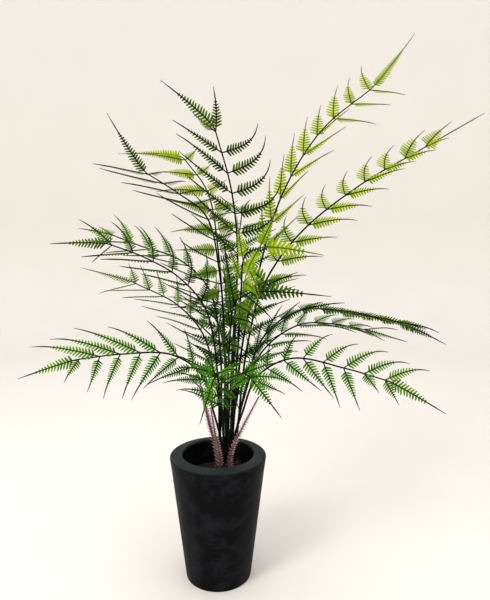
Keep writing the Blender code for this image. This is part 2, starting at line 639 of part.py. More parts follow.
def grow_crozier(crozier, material):
    """A bristly stalk whose side faces are drawn out into scales that point up."""
    bm = bmesh.new()
    line = crozier_line(crozier)
    stops = np.linspace(SOCKET_DEPTH, line.length * 0.94, CROZIER_SEGMENTS)
    stops = np.insert(stops, 0, 0.0)
    halves = np.linspace(CROZIER_BASE_HALF, CROZIER_END_HALF, CROZIER_SEGMENTS + 1)
    ring = square_ring(bm, line, 0, CROZIER_BASE_HALF)
    bm.faces.new(reversed(ring))
    for k in range(CROZIER_SEGMENTS):
        following = square_ring(bm, line, stops[k + 1], halves[k + 1])
        faces = join_rings(bm, ring, following)
        if k:
            centre, heading, upper, across = line.at((stops[k] + stops[k + 1]) / 2)
            length = BRISTLE_LENGTH * (1 - 0.4 * k / CROZIER_SEGMENTS)
            draw_out(bm, faces[1], centre + length * (1.2 * heading - 0.75 * across))
            draw_out(bm, faces[3], centre + length * (1.2 * heading + 0.75 * across))
        ring = following
    tip = bm.verts.new(line.path[-1])
    for k in range(4):
        bm.faces.new((ring[k], ring[(k + 1) % 4], tip))
    return make_object(crozier["name"], bm, material)


# Pot, soil and rootstock

def corner_arc(centre, start, end, steps=3):
    angles = np.radians(np.linspace(start, end, steps))
    return [(centre[0] + EDGE_ROUND * math.cos(a), centre[1] + EDGE_ROUND * math.sin(a))
            for a in angles]


def turn_profile(bm, profile, sides):
    """Revolves a profile whose two ends lie on the axis."""
    corners = [bm.verts.new((radius, 0, height)) for radius, height in profile]
    edges = [bm.edges.new(pair) for pair in zip(corners, corners[1:])]
    bmesh.ops.spin(bm, geom=corners + edges, cent=(0, 0, 0), axis=(0, 0, 1),
                   angle=math.tau, steps=sides, use_merge=True, use_duplicate=False)
    bmesh.ops.remove_doubles(bm, verts=bm.verts, dist=1e-6)


def make_pot(material):
    inner_rim = RIM_RADIUS - RIM_WIDTH
    outer_top = POT_HEIGHT - RIM_FALL
    profile = [(0, 0), (FOOT_RADIUS - 0.002, 0), (FOOT_RADIUS, 0.002)]
    profile += corner_arc((RIM_RADIUS - EDGE_ROUND, outer_top - EDGE_ROUND), 0, 85)
    profile += corner_arc((inner_rim + EDGE_ROUND, POT_HEIGHT - EDGE_ROUND), 95, 180)
    profile += [(inner_wall_radius(SOIL_TOP), SOIL_TOP), (INNER_FOOT_RADIUS, POT_FLOOR)]
    profile += [(0, POT_FLOOR)]
    bm = bmesh.new()
    turn_profile(bm, profile, POT_SIDES)
    return make_object("pot", bm, material, math.radians(35))


def inner_wall_radius(height):
    inner_rim = RIM_RADIUS - RIM_WIDTH
    share = (height - POT_FLOOR) / (POT_HEIGHT - EDGE_ROUND - POT_FLOOR)
    return INNER_FOOT_RADIUS + (inner_rim - INNER_FOOT_RADIUS) * share


def make_soil(material):
    """The soil fills the pot; its top is a little uneven and has a plain socket for the stock."""
    bottom = POT_FLOOR + GAP
    shrink = math.cos(math.pi / POT_SIDES)
    rim = inner_wall_radius(SOIL_TOP) * shrink - GAP
    foot = inner_wall_radius(bottom) * shrink - GAP
    bm = bmesh.new()
    profile = [(0, bottom), (foot, bottom), (rim, SOIL_TOP), (rim * 0.8, SOIL_TOP),
               (rim * 0.5, SOIL_TOP), (0, SOIL_TOP)]
    turn_profile(bm, profile, SOIL_SIDES)
    for corner in bm.verts:
        if corner.co.z > SOIL_TOP - GAP and corner.co.xy.length < rim * 0.95:
            corner.co.z += SOIL_SWELL * math.sin(90 * corner.co.x + 1) * math.cos(70 * corner.co.y)
    soil = make_object("soil", bm, material)
    socket = bmesh.new()
    bmesh.ops.create_cone(socket, cap_ends=True, segments=STOCK_SIDES, depth=0.1,
                          radius1=STOCK_RADIUS + GAP, radius2=STOCK_RADIUS + GAP)
    height = STOCK_BOTTOM - GAP + 0.05
    bmesh.ops.translate(socket, verts=socket.verts, vec=(*STOCK_CENTRE, height))
    subtract(soil, [make_object("socket", socket, material)])
    return soil


def drill_along(line, half):
    """A plain round hole for a square-cornered stalk, straight along its first stretch."""
    radius = half * math.sqrt(2) / math.cos(math.pi / HOLE_SIDES) + GAP
    foot = line.at(0)[0]
    top = line.at(SOCKET_DEPTH)[0]
    axis = unit(top - foot)
    drill = bmesh.new()
    rings = []
    for centre in (foot - 2 * GAP * axis, top):
        ring = []
        for turn in np.arange(HOLE_SIDES) * math.tau / HOLE_SIDES:
            offset = radius * np.array([math.cos(turn), math.sin(turn), 0])
            ring.append(drill.verts.new(centre + offset))
        rings.append(ring)
    drill.faces.new(reversed(rings[0]))
    join_rings(drill, *rings)
    drill.faces.new(rings[1])
    return drill


def make_rootstock(material):
    """A stout stock with scales in alternating rows, drilled for every stem and crozier."""
    bm = bmesh.new()
    buried = (STOCK_BOTTOM, SOIL_TOP + SOIL_SWELL + GAP)
    rows = np.linspace(buried[1], STOCK_TOP, 6)
    profile = [(0, buried[0]), (STOCK_RADIUS - 0.001, buried[0]), (STOCK_RADIUS - 0.001, buried[1])]
    shoulder = [STOCK_RADIUS * math.cos(math.radians(angle)) for angle in (8, 14, 22, 34, 50)]
    profile += list(zip(shoulder, rows[1:]))
    profile += [(0, STOCK_TOP + 0.001)]
    turn_profile(bm, profile, STOCK_SIDES)
    for corner in bm.verts:
        radius = corner.co.xy.length
        above = corner.co.z - buried[1]
        if above > GAP and radius > 0.3 * STOCK_RADIUS:
            row = round(above / (rows[1] - rows[0]))
            bearing = math.atan2(corner.co.y, corner.co.x)
            swell = math.cos(STOCK_SIDES / 2 * bearing + math.pi * row)
            corner.co.xy *= 1 + STOCK_SCALE_RELIEF * swell / radius
    bmesh.ops.translate(bm, verts=bm.verts, vec=(*STOCK_CENTRE, 0))
    stock = make_object("rootstock", bm, material)
    standing = [(stem_line(f), STEM_BASE_HALF) for f in FRONDS]
    standing += [(crozier_line(c), CROZIER_BASE_HALF) for c in CROZIERS]
    drills = []
    for k, (line, half) in enumerate(standing):
        drills.append(make_object(f"drill_{k}", drill_along(line, half), material))
    subtract(stock, drills)
    return stock


def main():
    for old in list(bpy.data.objects):
        bpy.data.objects.remove(old)
    materials = {}
    for name, colour in COLOURS.items():
        roughness = {"pot": 0.45, "soil": 0.95, "stock": 0.85, "crozier": 0.8}.get(name, 0.4)
        materials[name] = make_material(name, colour, roughness)
    make_pot(materials["pot"])
    make_soil(materials["soil"])
    make_rootstock(materials["stock"])
    for frond, stem, pairs, end in lay_out_fronds():
        grow_frond(frond, stem, pairs, end, materials[frond["tone"]])
    for crozier in CROZIERS:
        grow_crozier(crozier, materials["crozier"])


main()
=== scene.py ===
# A tall fern in a tapered black pot, finished round its fixed solids. Nineteen fronds and four
# young croziers rise from one scaly rootstock, which sits off the pot's middle in dark soil.
# Metres, +Z up, the origin at the middle of the pot's flat foot, the front towards -Y.

import json
import math
from collections import namedtuple

import bmesh
import bpy
import numpy as np
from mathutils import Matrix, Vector
from mathutils.bvhtree import BVHTree

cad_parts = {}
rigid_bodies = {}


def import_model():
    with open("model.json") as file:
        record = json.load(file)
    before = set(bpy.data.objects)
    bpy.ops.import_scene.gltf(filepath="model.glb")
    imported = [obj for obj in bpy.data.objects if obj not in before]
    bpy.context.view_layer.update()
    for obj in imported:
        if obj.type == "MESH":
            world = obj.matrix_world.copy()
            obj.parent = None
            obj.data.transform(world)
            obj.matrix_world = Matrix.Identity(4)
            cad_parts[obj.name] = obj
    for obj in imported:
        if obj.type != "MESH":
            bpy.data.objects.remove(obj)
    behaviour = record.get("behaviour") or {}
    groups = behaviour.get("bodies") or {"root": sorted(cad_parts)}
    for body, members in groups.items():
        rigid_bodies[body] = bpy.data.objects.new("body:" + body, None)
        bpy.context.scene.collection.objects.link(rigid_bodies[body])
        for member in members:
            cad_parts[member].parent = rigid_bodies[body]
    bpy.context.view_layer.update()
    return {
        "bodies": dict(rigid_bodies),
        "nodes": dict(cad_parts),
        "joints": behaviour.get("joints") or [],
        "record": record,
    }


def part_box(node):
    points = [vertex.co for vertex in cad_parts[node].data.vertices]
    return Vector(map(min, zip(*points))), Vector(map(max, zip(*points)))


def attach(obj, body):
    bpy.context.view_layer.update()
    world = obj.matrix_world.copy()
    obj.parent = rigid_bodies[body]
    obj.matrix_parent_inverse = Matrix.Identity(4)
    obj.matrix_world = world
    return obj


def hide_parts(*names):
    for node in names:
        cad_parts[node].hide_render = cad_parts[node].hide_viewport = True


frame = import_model()


# Pot. A tapered planter moulded in black plastic, with a broad flat rim that falls a little
# outwards to a rounded edge. Its skin is satin, with rubbed dull patches and the fine level
# scratches that wiping leaves round the wall.

POT_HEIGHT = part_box("pot")[1].z
POT_FLOOR = 0.016
RIM_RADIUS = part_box("pot")[1].x
RIM_WIDTH = 0.03
RIM_FALL = 0.003
INNER_RIM_RADIUS = RIM_RADIUS - RIM_WIDTH
INNER_FOOT_RADIUS = 0.056
INNER_WALL_HEIGHTS = (0.2, 0.1)
FOOT_RADIUS = 0.0786
FLAT_FOOT_RADIUS = 0.9 * FOOT_RADIUS
FOOT_ROUND = 0.002
EDGE_ROUND = 0.004
POT_SIDES = 160
SOFT_SHINE = 0.08


def operator(operation, reflected=False):
    """A method that adds a Math node, or a Vector Math node where one value is a vector."""
    def join(self, other):
        pair = (other, self) if reflected else (self, other)
        vectors = [isinstance(v, tuple) or isinstance(v, Wire) and v.socket.type == "VECTOR"
                   for v in pair]
        if operation == "MULTIPLY" and sum(vectors) == 1:
            scaled = {0: pair[vectors.index(True)], "Scale": pair[vectors.index(False)]}
            return self.bench.node("ShaderNodeVectorMath", scaled, operation="SCALE")
        add = self.bench.vector if any(vectors) else self.bench.math
        return add(operation, *pair)
    return join


class Wire:
    """A node's output, with the operators that are used on it."""

    def __init__(self, bench, socket):
        self.bench = bench
        self.socket = socket

    def other(self, name):
        """Another output of the same node."""
        return Wire(self.bench, self.socket.node.outputs[name])

    def __abs__(self):
        return self.bench.math("ABSOLUTE", self)

    __add__, __radd__ = operator("ADD"), operator("ADD", reflected=True)
    __sub__, __rsub__ = operator("SUBTRACT"), operator("SUBTRACT", reflected=True)
    __mul__, __rmul__ = operator("MULTIPLY"), operator("MULTIPLY", reflected=True)
    __pow__ = operator("POWER")
    least, most, above = operator("MINIMUM"), operator("MAXIMUM"), operator("GREATER_THAN")


class Bench:
    """A node tree in the making."""

    def __init__(self, tree, owner=None):
        self.tree = tree
        self.owner = owner

    def node(self, kind, sockets=None, output=0, **settings):
        """One node with its settings and then its sockets; gives one of its outputs."""
        made = self.tree.nodes.new(kind)
        for name, value in settings.items():
            setattr(made, name, value)
        self.feed(made, sockets or {})
        return Wire(self, [s for s in made.outputs if s.enabled][output])

    def feed(self, made, sockets):
        """Sets or links a node's inputs, each given by its number or its name."""
        for name, value in sockets.items():
            if isinstance(name, int):
                socket = made.inputs[name]
            else:
                socket = next(s for s in made.inputs if s.enabled and s.name == name)
            for one in value if isinstance(value, list) else [value]:
                if isinstance(one, Wire):
                    self.tree.links.new(one.socket, socket)
                else:
                    socket.default_value = one

    def math(self, operation, *values):
        return self.node("ShaderNodeMath", dict(enumerate(values)), operation=operation)

    def vector(self, operation, *values):
        return self.node("ShaderNodeVectorMath", dict(enumerate(values)), operation=operation)

    def axis(self, vector, number):
        """One of a vector's three numbers."""
        return self.node("ShaderNodeSeparateXYZ", {0: vector}, number)

    def place(self):
        return self.node("ShaderNodeTexCoord").other("Object")

    def noise(self, place, scale, detail=2, roughness=0.5):
        return self.node("ShaderNodeTexNoise", {"Vector": place, "Scale": scale,
                                                "Detail": detail, "Roughness": roughness})

    def spread(self, value, low, high):
        """A value's stretch from low to high opened out to 0 to 1, and clamped."""
        return self.node("ShaderNodeMapRange", {"Value": value, "From Min": low, "From Max": high})

    def mix(self, factor, low, high):
        """A colour between low and high, each a wire or its red, green and blue."""
        low, high = (c if isinstance(c, Wire) else (*c, 1) for c in (low, high))
        return self.node("ShaderNodeMix", {"Factor": factor, "A": low, "B": high},
                         data_type="RGBA")


def start_finish(name):
    """The bench that a new material's nodes are made on."""
    material = bpy.data.materials.new(name)
    material.use_nodes = True
    return Bench(material.node_tree, material)


def end_finish(bench, colour, roughness, relief, depth, shine=0.5):
    """The material with its shader fed. relief is how its skin stands up, by up to depth."""
    bench.feed(bench.tree.nodes["Principled BSDF"], {
        "Base Color": colour, "Roughness": roughness, "Specular IOR Level": shine,
        "Normal": bench.node("ShaderNodeBump", {"Height": relief, "Distance": depth})})
    return bench.owner


def pot_finish():
    """Black plastic: bluish where it is rubbed, scratched level, paler on the rim. The inside is
    painted nearly black: painted shade.
    """
    bench = start_finish("pot_plastic")
    place = bench.place()
    patches = bench.spread(bench.noise(place, 24, 5, 0.62), 0.44, 0.62)
    streaks = bench.noise(place * (9, 9, 420), 1, 3, 0.7)
    scratches = bench.spread(bench.noise(place * (6, 6, 700), 1), 0.6, 0.68)
    scratches = scratches * bench.spread(bench.noise(place, 16, 1), 0.52, 0.6)
    height = bench.axis(place, 2)
    rim = bench.spread(height, POT_HEIGHT - 2 * RIM_FALL, POT_HEIGHT - RIM_FALL)
    body = bench.mix(patches * 0.8 + streaks * 0.2, (0.0024, 0.0027, 0.0034),
                     (0.016, 0.0155, 0.0215))
    body = bench.mix(rim * 0.9, body, (0.03, 0.04, 0.04))
    body = bench.mix(scratches * 0.3, body, (0.05, 0.052, 0.058))
    radius = bench.vector("LENGTH", place * (1, 1, 0))
    # Painted shade: the inside of the pot is painted nearly black, and only the outside keeps the
    # plastic's colour.
    outside = bench.spread(radius, INNER_RIM_RADIUS, INNER_RIM_RADIUS + EDGE_ROUND)
    outside = outside.most(bench.spread(radius - FOOT_RADIUS / POT_HEIGHT * height, 0, 0.01))
    body = bench.mix(outside, (0.0008, 0.0008, 0.0009), body)
    roughness = (0.36 + 0.16 * patches + 0.16 * streaks).most(0.3)
    relief = streaks * 0.6 + scratches * 0.5 + patches * 0.6
    return end_finish(bench, body, roughness, relief, 0.00018, SOFT_SHINE)


def make_piece(name, data, *materials):
    """A mesh, lamp or lens as an object, wearing the materials."""
    for material in materials:
        data.materials.append(material)
    piece = bpy.data.objects.new(name, data)
    bpy.context.scene.collection.objects.link(piece)
    return piece


def finish_mesh(name, bm, smooth_angle):
    """The bmesh as a smooth closed mesh with its faces pointing outwards."""
    bmesh.ops.recalc_face_normals(bm, faces=bm.faces)
    mesh = bpy.data.meshes.new(name)
    bm.to_mesh(mesh)
    bm.free()
    mesh.shade_smooth()
    mesh.set_sharp_from_angle(angle=math.radians(smooth_angle))
    return mesh


def turn_profile(profile, sides):
    """Revolves a profile whose two ends lie on the axis."""
    bm = bmesh.new()
    corners = [bm.verts.new((radius, 0, height)) for radius, height in profile]
    edges = [bm.edges.new(pair) for pair in zip(corners, corners[1:])]
    bmesh.ops.spin(bm, geom=corners + edges, cent=(0, 0, 0), axis=(0, 0, 1),
                   angle=math.tau, steps=sides, use_merge=True, use_duplicate=False)
    bmesh.ops.remove_doubles(bm, verts=bm.verts, dist=1e-6)
    return bm


def corner_arc(centre, radius, start, end, steps=9):
    angles = np.radians(np.linspace(start, end, steps))
    return [(centre[0] + radius * math.cos(a), centre[1] + radius * math.sin(a)) for a in angles]


def inner_wall_radius(height):
    share = (height - POT_FLOOR) / (POT_HEIGHT - EDGE_ROUND - POT_FLOOR)
    return INNER_FOOT_RADIUS + (INNER_RIM_RADIUS - INNER_FOOT_RADIUS) * share


def turn_pot():
    outer_top = POT_HEIGHT - RIM_FALL
    profile = [(0, 0), (FLAT_FOOT_RADIUS, 0)]
    profile += corner_arc((FOOT_RADIUS - FOOT_ROUND, FOOT_ROUND), FOOT_ROUND, -90, -5)
    for share in np.linspace(0.1, 0.9, 9):
        profile.append((FOOT_RADIUS + (RIM_RADIUS - FOOT_RADIUS) * share, outer_top * share))
    profile += corner_arc((RIM_RADIUS - EDGE_ROUND, outer_top - EDGE_ROUND), EDGE_ROUND, 0, 85)
    profile += corner_arc((INNER_RIM_RADIUS + EDGE_ROUND, POT_HEIGHT - EDGE_ROUND), EDGE_ROUND,
                          95, 180)
    profile += [(inner_wall_radius(height), height) for height in INNER_WALL_HEIGHTS]
    profile += [(INNER_FOOT_RADIUS, POT_FLOOR), (0, POT_FLOOR)]
    return finish_mesh("pot_shell", turn_profile(profile, POT_SIDES), 40)


pot = make_piece("pot_shell", turn_pot(), pot_finish())
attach(pot, "root")
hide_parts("pot")


# Soil. Dark peaty compost, a little lower than the rim and heaped unevenly, with loose crumbs
# on top. It fills the pot and has a plain socket for the rootstock.

GAP = 0.0003
SOIL_TOP = 0.246
SOIL_HEAP = 0.003
SOIL_RINGS = 26
SOIL_STEPS = 120
STOCK_CENTRE = np.array([0.024, 0])
STOCK_RADIUS = 0.033
STOCK_BOTTOM = 0.215
CRUMB_SIZE = 0.0019
CRUMB_DENSITY = 90000.0


def soil_finish():
    """Peat: nearly black, browner on the raised crumbs, dull all over."""
    bench = start_finish("peat")
    place = bench.place()
    clumps = bench.noise(place, 160, 5, 0.7)
    fibres = bench.spread(bench.noise(place * (900, 240, 500), 1), 0.6, 0.68)
    colour = bench.mix(bench.spread(clumps, 0.35, 0.7), (0.008, 0.006, 0.005),
                       (0.034, 0.023, 0.015))
    colour = bench.mix(fibres * 0.5, colour, (0.085, 0.055, 0.032))
    return end_finish(bench, colour, 0.98 - 0.12 * clumps, clumps + fibres * 0.4, 0.0009)


def skin_rings(bm, rings):
    """Walls between rings of corners, in order; gives the rings of vertices."""
    made = [[bm.verts.new(corner) for corner in ring] for ring in rings]
    for ring, following in zip(made, made[1:]):
        for k in range(len(ring)):
            nxt = (k + 1) % len(ring)
            bm.faces.new((ring[k], ring[nxt], following[nxt], following[k]))
    return made


def soil_ring(centre, radius, height, heap=0):
    """A ring of the soil, whose height waves by as much as heap."""
    ring = []
    for k in range(SOIL_STEPS):
        turn = math.tau * k / SOIL_STEPS
        x, y = centre[0] + radius * math.cos(turn), centre[1] + radius * math.sin(turn)
        waves = math.sin(90 * x + 1) * math.cos(70 * y) + 0.4 * math.sin(260 * x + 190 * y)
        ring.append((x, y, height + heap * waves))
    return ring


def heap_soil():
    """Rings that pass from the rootstock's socket to the wall, closed below."""
    low = POT_FLOOR + GAP
    socket, wall = STOCK_RADIUS + GAP, inner_wall_radius(SOIL_TOP) - GAP
    rings = [soil_ring(STOCK_CENTRE, socket, STOCK_BOTTOM - GAP)]
    for share in np.linspace(0, 1, SOIL_RINGS):
        heap = SOIL_HEAP * math.sin(math.pi * min(1, share * 1.02)) ** 0.5
        rings.append(soil_ring(STOCK_CENTRE * (1 - share), socket * (1 - share) + wall * share,
                               SOIL_TOP, heap))
    rings.append(soil_ring((0, 0), inner_wall_radius(low) - GAP, low))
    bm = bmesh.new()
    made = skin_rings(bm, rings)
    bm.faces.new(made[0])
    bm.faces.new(made[-1])
    return finish_mesh("soil_heap", bm, 50)


def start_tree(name, values):
    """A geometry node tree with a named input for each value, and the wires from them."""
    tree = bpy.data.node_groups.new(name, "GeometryNodeTree")
    for way in ("INPUT", "OUTPUT"):
        tree.interface.new_socket("Geometry", in_out=way, socket_type="NodeSocketGeometry")
    for label, value in values.items():
        kind = "NodeSocket" + type(value).__name__.title()
        tree.interface.new_socket(label, in_out="INPUT", socket_type=kind)
    bench = Bench(tree)
    entry = tree.nodes.new("NodeGroupInput")
    return bench, {s.name: Wire(bench, s) for s in entry.outputs if s.name}


def chance(bench, low, high, seed):
    """A random number, or vector, for each thing that reads it."""
    kind = "FLOAT_VECTOR" if isinstance(low, tuple) else "FLOAT"
    return bench.node("FunctionNodeRandomValue", {"Min": low, "Max": high, "Seed": seed},
                      data_type=kind)


def strew_points(bench, take, chosen):
    return bench.node("GeometryNodeDistributePointsOnFaces", {
        "Mesh": take["Geometry"], "Selection": chosen, "Density": take["Density"],
        "Seed": take["Seed"]})


def dress(bench, geometry, finish):
    """Instances made real and given their finish."""
    real = bench.node("GeometryNodeRealizeInstances", {0: geometry})
    return bench.node("GeometryNodeSetMaterial", {0: real, "Material": finish})


def end_tree(bench, geometry):
    bench.feed(bench.tree.nodes.new("NodeGroupOutput"), {0: geometry})
    return bench.tree


def run_tree(piece, tree, values):
    """Sets a tree's inputs by their identifiers and keeps what it makes as a plain mesh."""
    step = piece.modifiers.new("growth", "NODES")
    step.node_group = tree
    for item in tree.interface.items_tree:
        if item.in_out == "INPUT" and item.name in values:
            step[item.identifier] = values[item.name]
    graph = bpy.context.evaluated_depsgraph_get()
    made = bpy.data.meshes.new_from_object(
        piece.evaluated_get(graph), preserve_all_data_layers=True, depsgraph=graph)
    piece.modifiers.remove(step)
    piece.data = made


def crumb_tree(values):
    """Strews crumbs on the faces that look up."""
    bench, take = start_tree("crumbs", values)
    lift = bench.axis(bench.node("GeometryNodeInputNormal"), 2)
    crumb = bench.node("GeometryNodeMeshIcoSphere", {"Radius": take["Size"], "Subdivisions": 1})
    strewn = bench.node("GeometryNodeInstanceOnPoints", {
        "Points": strew_points(bench, take, lift.above(0.6)), "Instance": crumb,
        "Scale": chance(bench, (0.3, 0.25, 0.15), (1.2, 1, 0.7), take["Seed"]),
        "Rotation": chance(bench, (-0.4, -0.4, 0), (0.4, 0.4, 6.28), 7)})
    both = bench.node("GeometryNodeJoinGeometry", {0: [take["Geometry"], strewn]})
    return end_tree(bench, dress(bench, both, take["Finish"]))


soil = make_piece("soil_heap", heap_soil())
crumbs = {"Size": CRUMB_SIZE, "Density": CRUMB_DENSITY, "Seed": 3, "Finish": soil_finish()}
run_tree(soil, crumb_tree(crumbs), crumbs)
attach(soil, "root")
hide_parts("soil")


# Rootstock. A stout woody stock, drilled for each stem, that stands a little out of the soil.
# Overlapping dry scales clothe its sides and point up.

SCALE_LENGTH = 0.0085
SCALE_WIDTH = 0.003
SCALE_THICKNESS = 0.0004
SCALE_STATIONS = ((0, 0.35), (0.25, 1), (0.55, 0.85), (0.82, 0.4))
STOCK_SCALE_DENSITY = 52000.0
STOCK_SCALE_LEAN = 0.25


def blade_shape(stations, hook, bend, top, bottom, tip_height):
    """A closed four-sided blade along +X, 1 long and 1 wide. Its tip is carried sideways by
    hook and up by bend, and its keels stand off by top and bottom."""
    rings = []
    for along, width in stations:
        aside, rise = hook * along ** 2, bend * along ** 2
        rings.append(((along, aside + width / 2, rise), (along, aside, rise + top),
                      (along, aside - width / 2, rise), (along, aside, rise - bottom)))
    bm = bmesh.new()
    made = skin_rings(bm, rings)
    bm.faces.new(reversed(made[0]))
    tip = bm.verts.new((1, hook, tip_height))
    for k in range(4):
        bm.faces.new((made[-1][k], made[-1][(k + 1) % 4], tip))
    return bm


def bark_finish(name, dark, light):
    """Dry plant skin: fine lengthwise grain, paler where it is raised."""
    bench = start_finish(name)
    place = bench.place()
    grain = bench.noise(place * (700, 700, 90), 1, 3, 0.6)
    raised = bench.spread(grain * 0.6 + bench.noise(place, 60, 3) * 0.4, 0.35, 0.65)
    return end_finish(bench, bench.mix(raised, dark, light), 0.9 - 0.25 * grain, grain, 0.0004)


def set_blades(bench, points, blade, heading, upper, size, chosen=True):
    """A blade on each chosen point, that points along heading with its top towards upper."""
    return bench.node("GeometryNodeInstanceOnPoints", {
        "Points": points, "Selection": chosen,
        "Instance": bench.node("GeometryNodeObjectInfo", {"Object": blade}).other("Geometry"),
        "Rotation": bench.node("FunctionNodeAxesToRotation",
                               {"Primary Axis": heading, "Secondary Axis": upper},
                               primary_axis="X", secondary_axis="Z"),
        "Scale": bench.node("ShaderNodeCombineXYZ", dict(enumerate(size)))})


def stock_scale_tree(values):
    """Sets scales on the stock's sides above the soil, each pointing up along the surface."""
    bench, take = start_tree("stock_scales", values)
    normal = bench.node("GeometryNodeInputNormal")
    spot = bench.node("GeometryNodeInputPosition")
    outwards = bench.vector("DOT_PRODUCT", normal, spot - (*STOCK_CENTRE, STOCK_BOTTOM))
    chosen = bench.axis(spot, 2).above(take["Lowest"]) * outwards.above(0.8 * STOCK_RADIUS)
    chosen = chosen * (0.96 - bench.axis(normal, 2)).above(0)
    spots = strew_points(bench, take, chosen)
    face = spots.other("Normal")
    size = chance(bench, 0.7, 1.15, take["Seed"])
    scales = set_blades(bench, spots, take["Blade"], face * STOCK_SCALE_LEAN + (0, 0, 1), face,
                        (take["Length"] * size, take["Width"] * size, take["Thickness"]))
    return end_tree(bench, dress(bench, scales, take["Finish"]))


blade = make_piece("scale_blade", finish_mesh(
    "scale_blade", blade_shape(SCALE_STATIONS, 0, 0.9, 0.9, 0.1, 1.1), 70))
stock = frame["nodes"]["rootstock"]
stock.data.materials.clear()
stock.data.materials.append(bark_finish("stock_wood", (0.012, 0.008, 0.006), (0.06, 0.038, 0.028)))
stock_scales = make_piece("rootstock_scales", stock.data.copy())
values = {
    "Blade": blade, "Length": SCALE_LENGTH, "Width": SCALE_WIDTH, "Thickness": SCALE_THICKNESS,
    "Density": STOCK_SCALE_DENSITY, "Lowest": SOIL_TOP, "Seed": 5,
    "Finish": bark_finish("stock_scale", (0.03, 0.018, 0.013), (0.15, 0.09, 0.065))}
run_tree(stock_scales, stock_scale_tree(values), values)
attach(stock_scales, "root")


# Croziers. Four young stalks, pinkish brown, stand in the rootstock round the bundle of stems
# and taper to a thin curved tip. Papery scales with dark feet stand off them and point up.
# Their paths are in millimetres.

CROZIERS = {
    "crozier_left_tall": ((1.5, -7, 262), (-3, -10, 310), (-19, -14, 372), (-29, -18, 422),
                          (-41, -22, 468), (-58, -24, 486)),
    "crozier_left_fork": ((1.5, 6, 262), (-4, 8, 310), (-20, 10, 372), (-34, 13, 430),
                          (-50, 14, 500)),
    "crozier_left_short": ((8, -19, 262), (4, -24, 310), (-6, -30, 365), (-15, -34, 425)),
    "crozier_right": ((29, -23.5, 262), (31, -28, 310), (56, -32, 372), (80, -36, 420),
                      (96, -40, 452)),
}
CROZIER_BASE_HALF = 0.0022
CROZIER_END_HALF = 0.0011
CROZIER_FACE = np.array([0, -1, 0.2])
BRISTLE_LENGTH = 0.0085
CROZIER_SCALE_PITCH = 0.0009
CROZIER_SCALE_WIDTH = 0.0028
CROZIER_SCALE_LEAN = 1.0
SPIRAL_TURN = math.radians(137.5)
FACED_AT = 0.75
FULL_REACH = 0.11
SMALLEST = 0.9
LARGEST = 1.05
ROUND_FROM_SQUARE = 1.15
TUBE_SIDES = 8
STALK_STEPS = 60


def unit(vector):
    return vector / np.linalg.norm(vector)


def smooth_path(points, steps=12):
    """A centripetal Catmull-Rom curve, which passes through the points and never overshoots."""
    points = np.array(points, float)
    padded = np.vstack([2 * points[0] - points[1], points, 2 * points[-1] - points[-2]])
    curve = []
    for a, b, c, d in zip(padded, padded[1:], padded[2:], padded[3:]):
        before, here, after = (math.sqrt(np.linalg.norm(gap)) for gap in (b - a, c - b, d - c))
        leave = c - b + here * ((b - a) / before - (c - a) / (before + here))
        arrive = c - b + here * ((d - c) / after - (d - b) / (here + after))
        for t in np.arange(steps) / steps:
            curve.append(b * (2 * t ** 3 - 3 * t * t + 1) + c * (3 * t * t - 2 * t ** 3)
                         + leave * (t ** 3 - 2 * t * t + t) + arrive * (t ** 3 - t * t))
    curve.append(points[-1])
    return np.array(curve)


class Line:
    """A curve, read at any distance along it. Its upper side looks towards face at FACED_AT, and
    is carried both ways from there with no twist."""

    def __init__(self, path, face, breadth=1):
        steps = np.linalg.norm(np.diff(path, axis=0), axis=1)
        self.path, self.along = path, np.concatenate([[0], np.cumsum(steps)])
        self.length = self.along[-1]
        self.leaf_size = breadth * min(LARGEST, max(SMALLEST, self.length / FULL_REACH))
        tangents = np.gradient(path, axis=0)
        tangents /= np.linalg.norm(tangents, axis=1)[:, None]
        middle = int(len(path) * FACED_AT)
        sides = np.zeros_like(path)
        sides[middle] = unit(face - tangents[middle] * (face @ tangents[middle]))
        for order in (range(middle + 1, len(path)), range(middle - 1, -1, -1)):
            held = sides[middle]
            for i in order:
                held = unit(held - tangents[i] * (held @ tangents[i]))
                sides[i] = held
        self.tangents, self.sides = tangents, sides

    def read(self, table, distance):
        return np.array([np.interp(distance, self.along, column) for column in table.T])

    def at(self, distance):
        """The point, the heading, the upper side and the way across at a distance."""
        heading = unit(self.read(self.tangents, distance))
        upper = self.read(self.sides, distance)
        upper = unit(upper - heading * (upper @ heading))
        return self.read(self.path, distance), heading, upper, np.cross(heading, upper)


def crozier_line(path):
    return Line(smooth_path(np.array(path) / 1000), CROZIER_FACE)


KNOWN = {"half": "FLOAT", "upper": "FLOAT_VECTOR", "scaly": "FLOAT", "share": "FLOAT",
         "size": "FLOAT"}


def trace_piece(name, runs):
    """Bare chains of points for a tree to grow on, with what each point knows of its stalk."""
    points, edges = [], []
    known = {label: [] for label in KNOWN}
    for line, *rows in runs:
        start = len(points)
        for distance, half, scaly, share in zip(*rows):
            point, _, upper, _ = line.at(distance)
            points.append(point)
            for label, value in zip(KNOWN, (half, upper, scaly, share, line.leaf_size)):
                known[label].append(value)
        edges += [(k, k + 1) for k in range(start, len(points) - 1)]
    mesh = bpy.data.meshes.new(name)
    mesh.from_pydata(points, edges, [])
    for label, values in known.items():
        store = mesh.attributes.new(label, KNOWN[label], "POINT")
        field = "vector" if label == "upper" else "value"
        store.data.foreach_set(field, np.array(values, np.float32).ravel())
    return make_piece(name, mesh)


def known_value(bench, label):
    """What the points know under a label, in a tree."""
    return bench.node("GeometryNodeInputNamedAttribute", {"Name": label}, data_type=KNOWN[label])


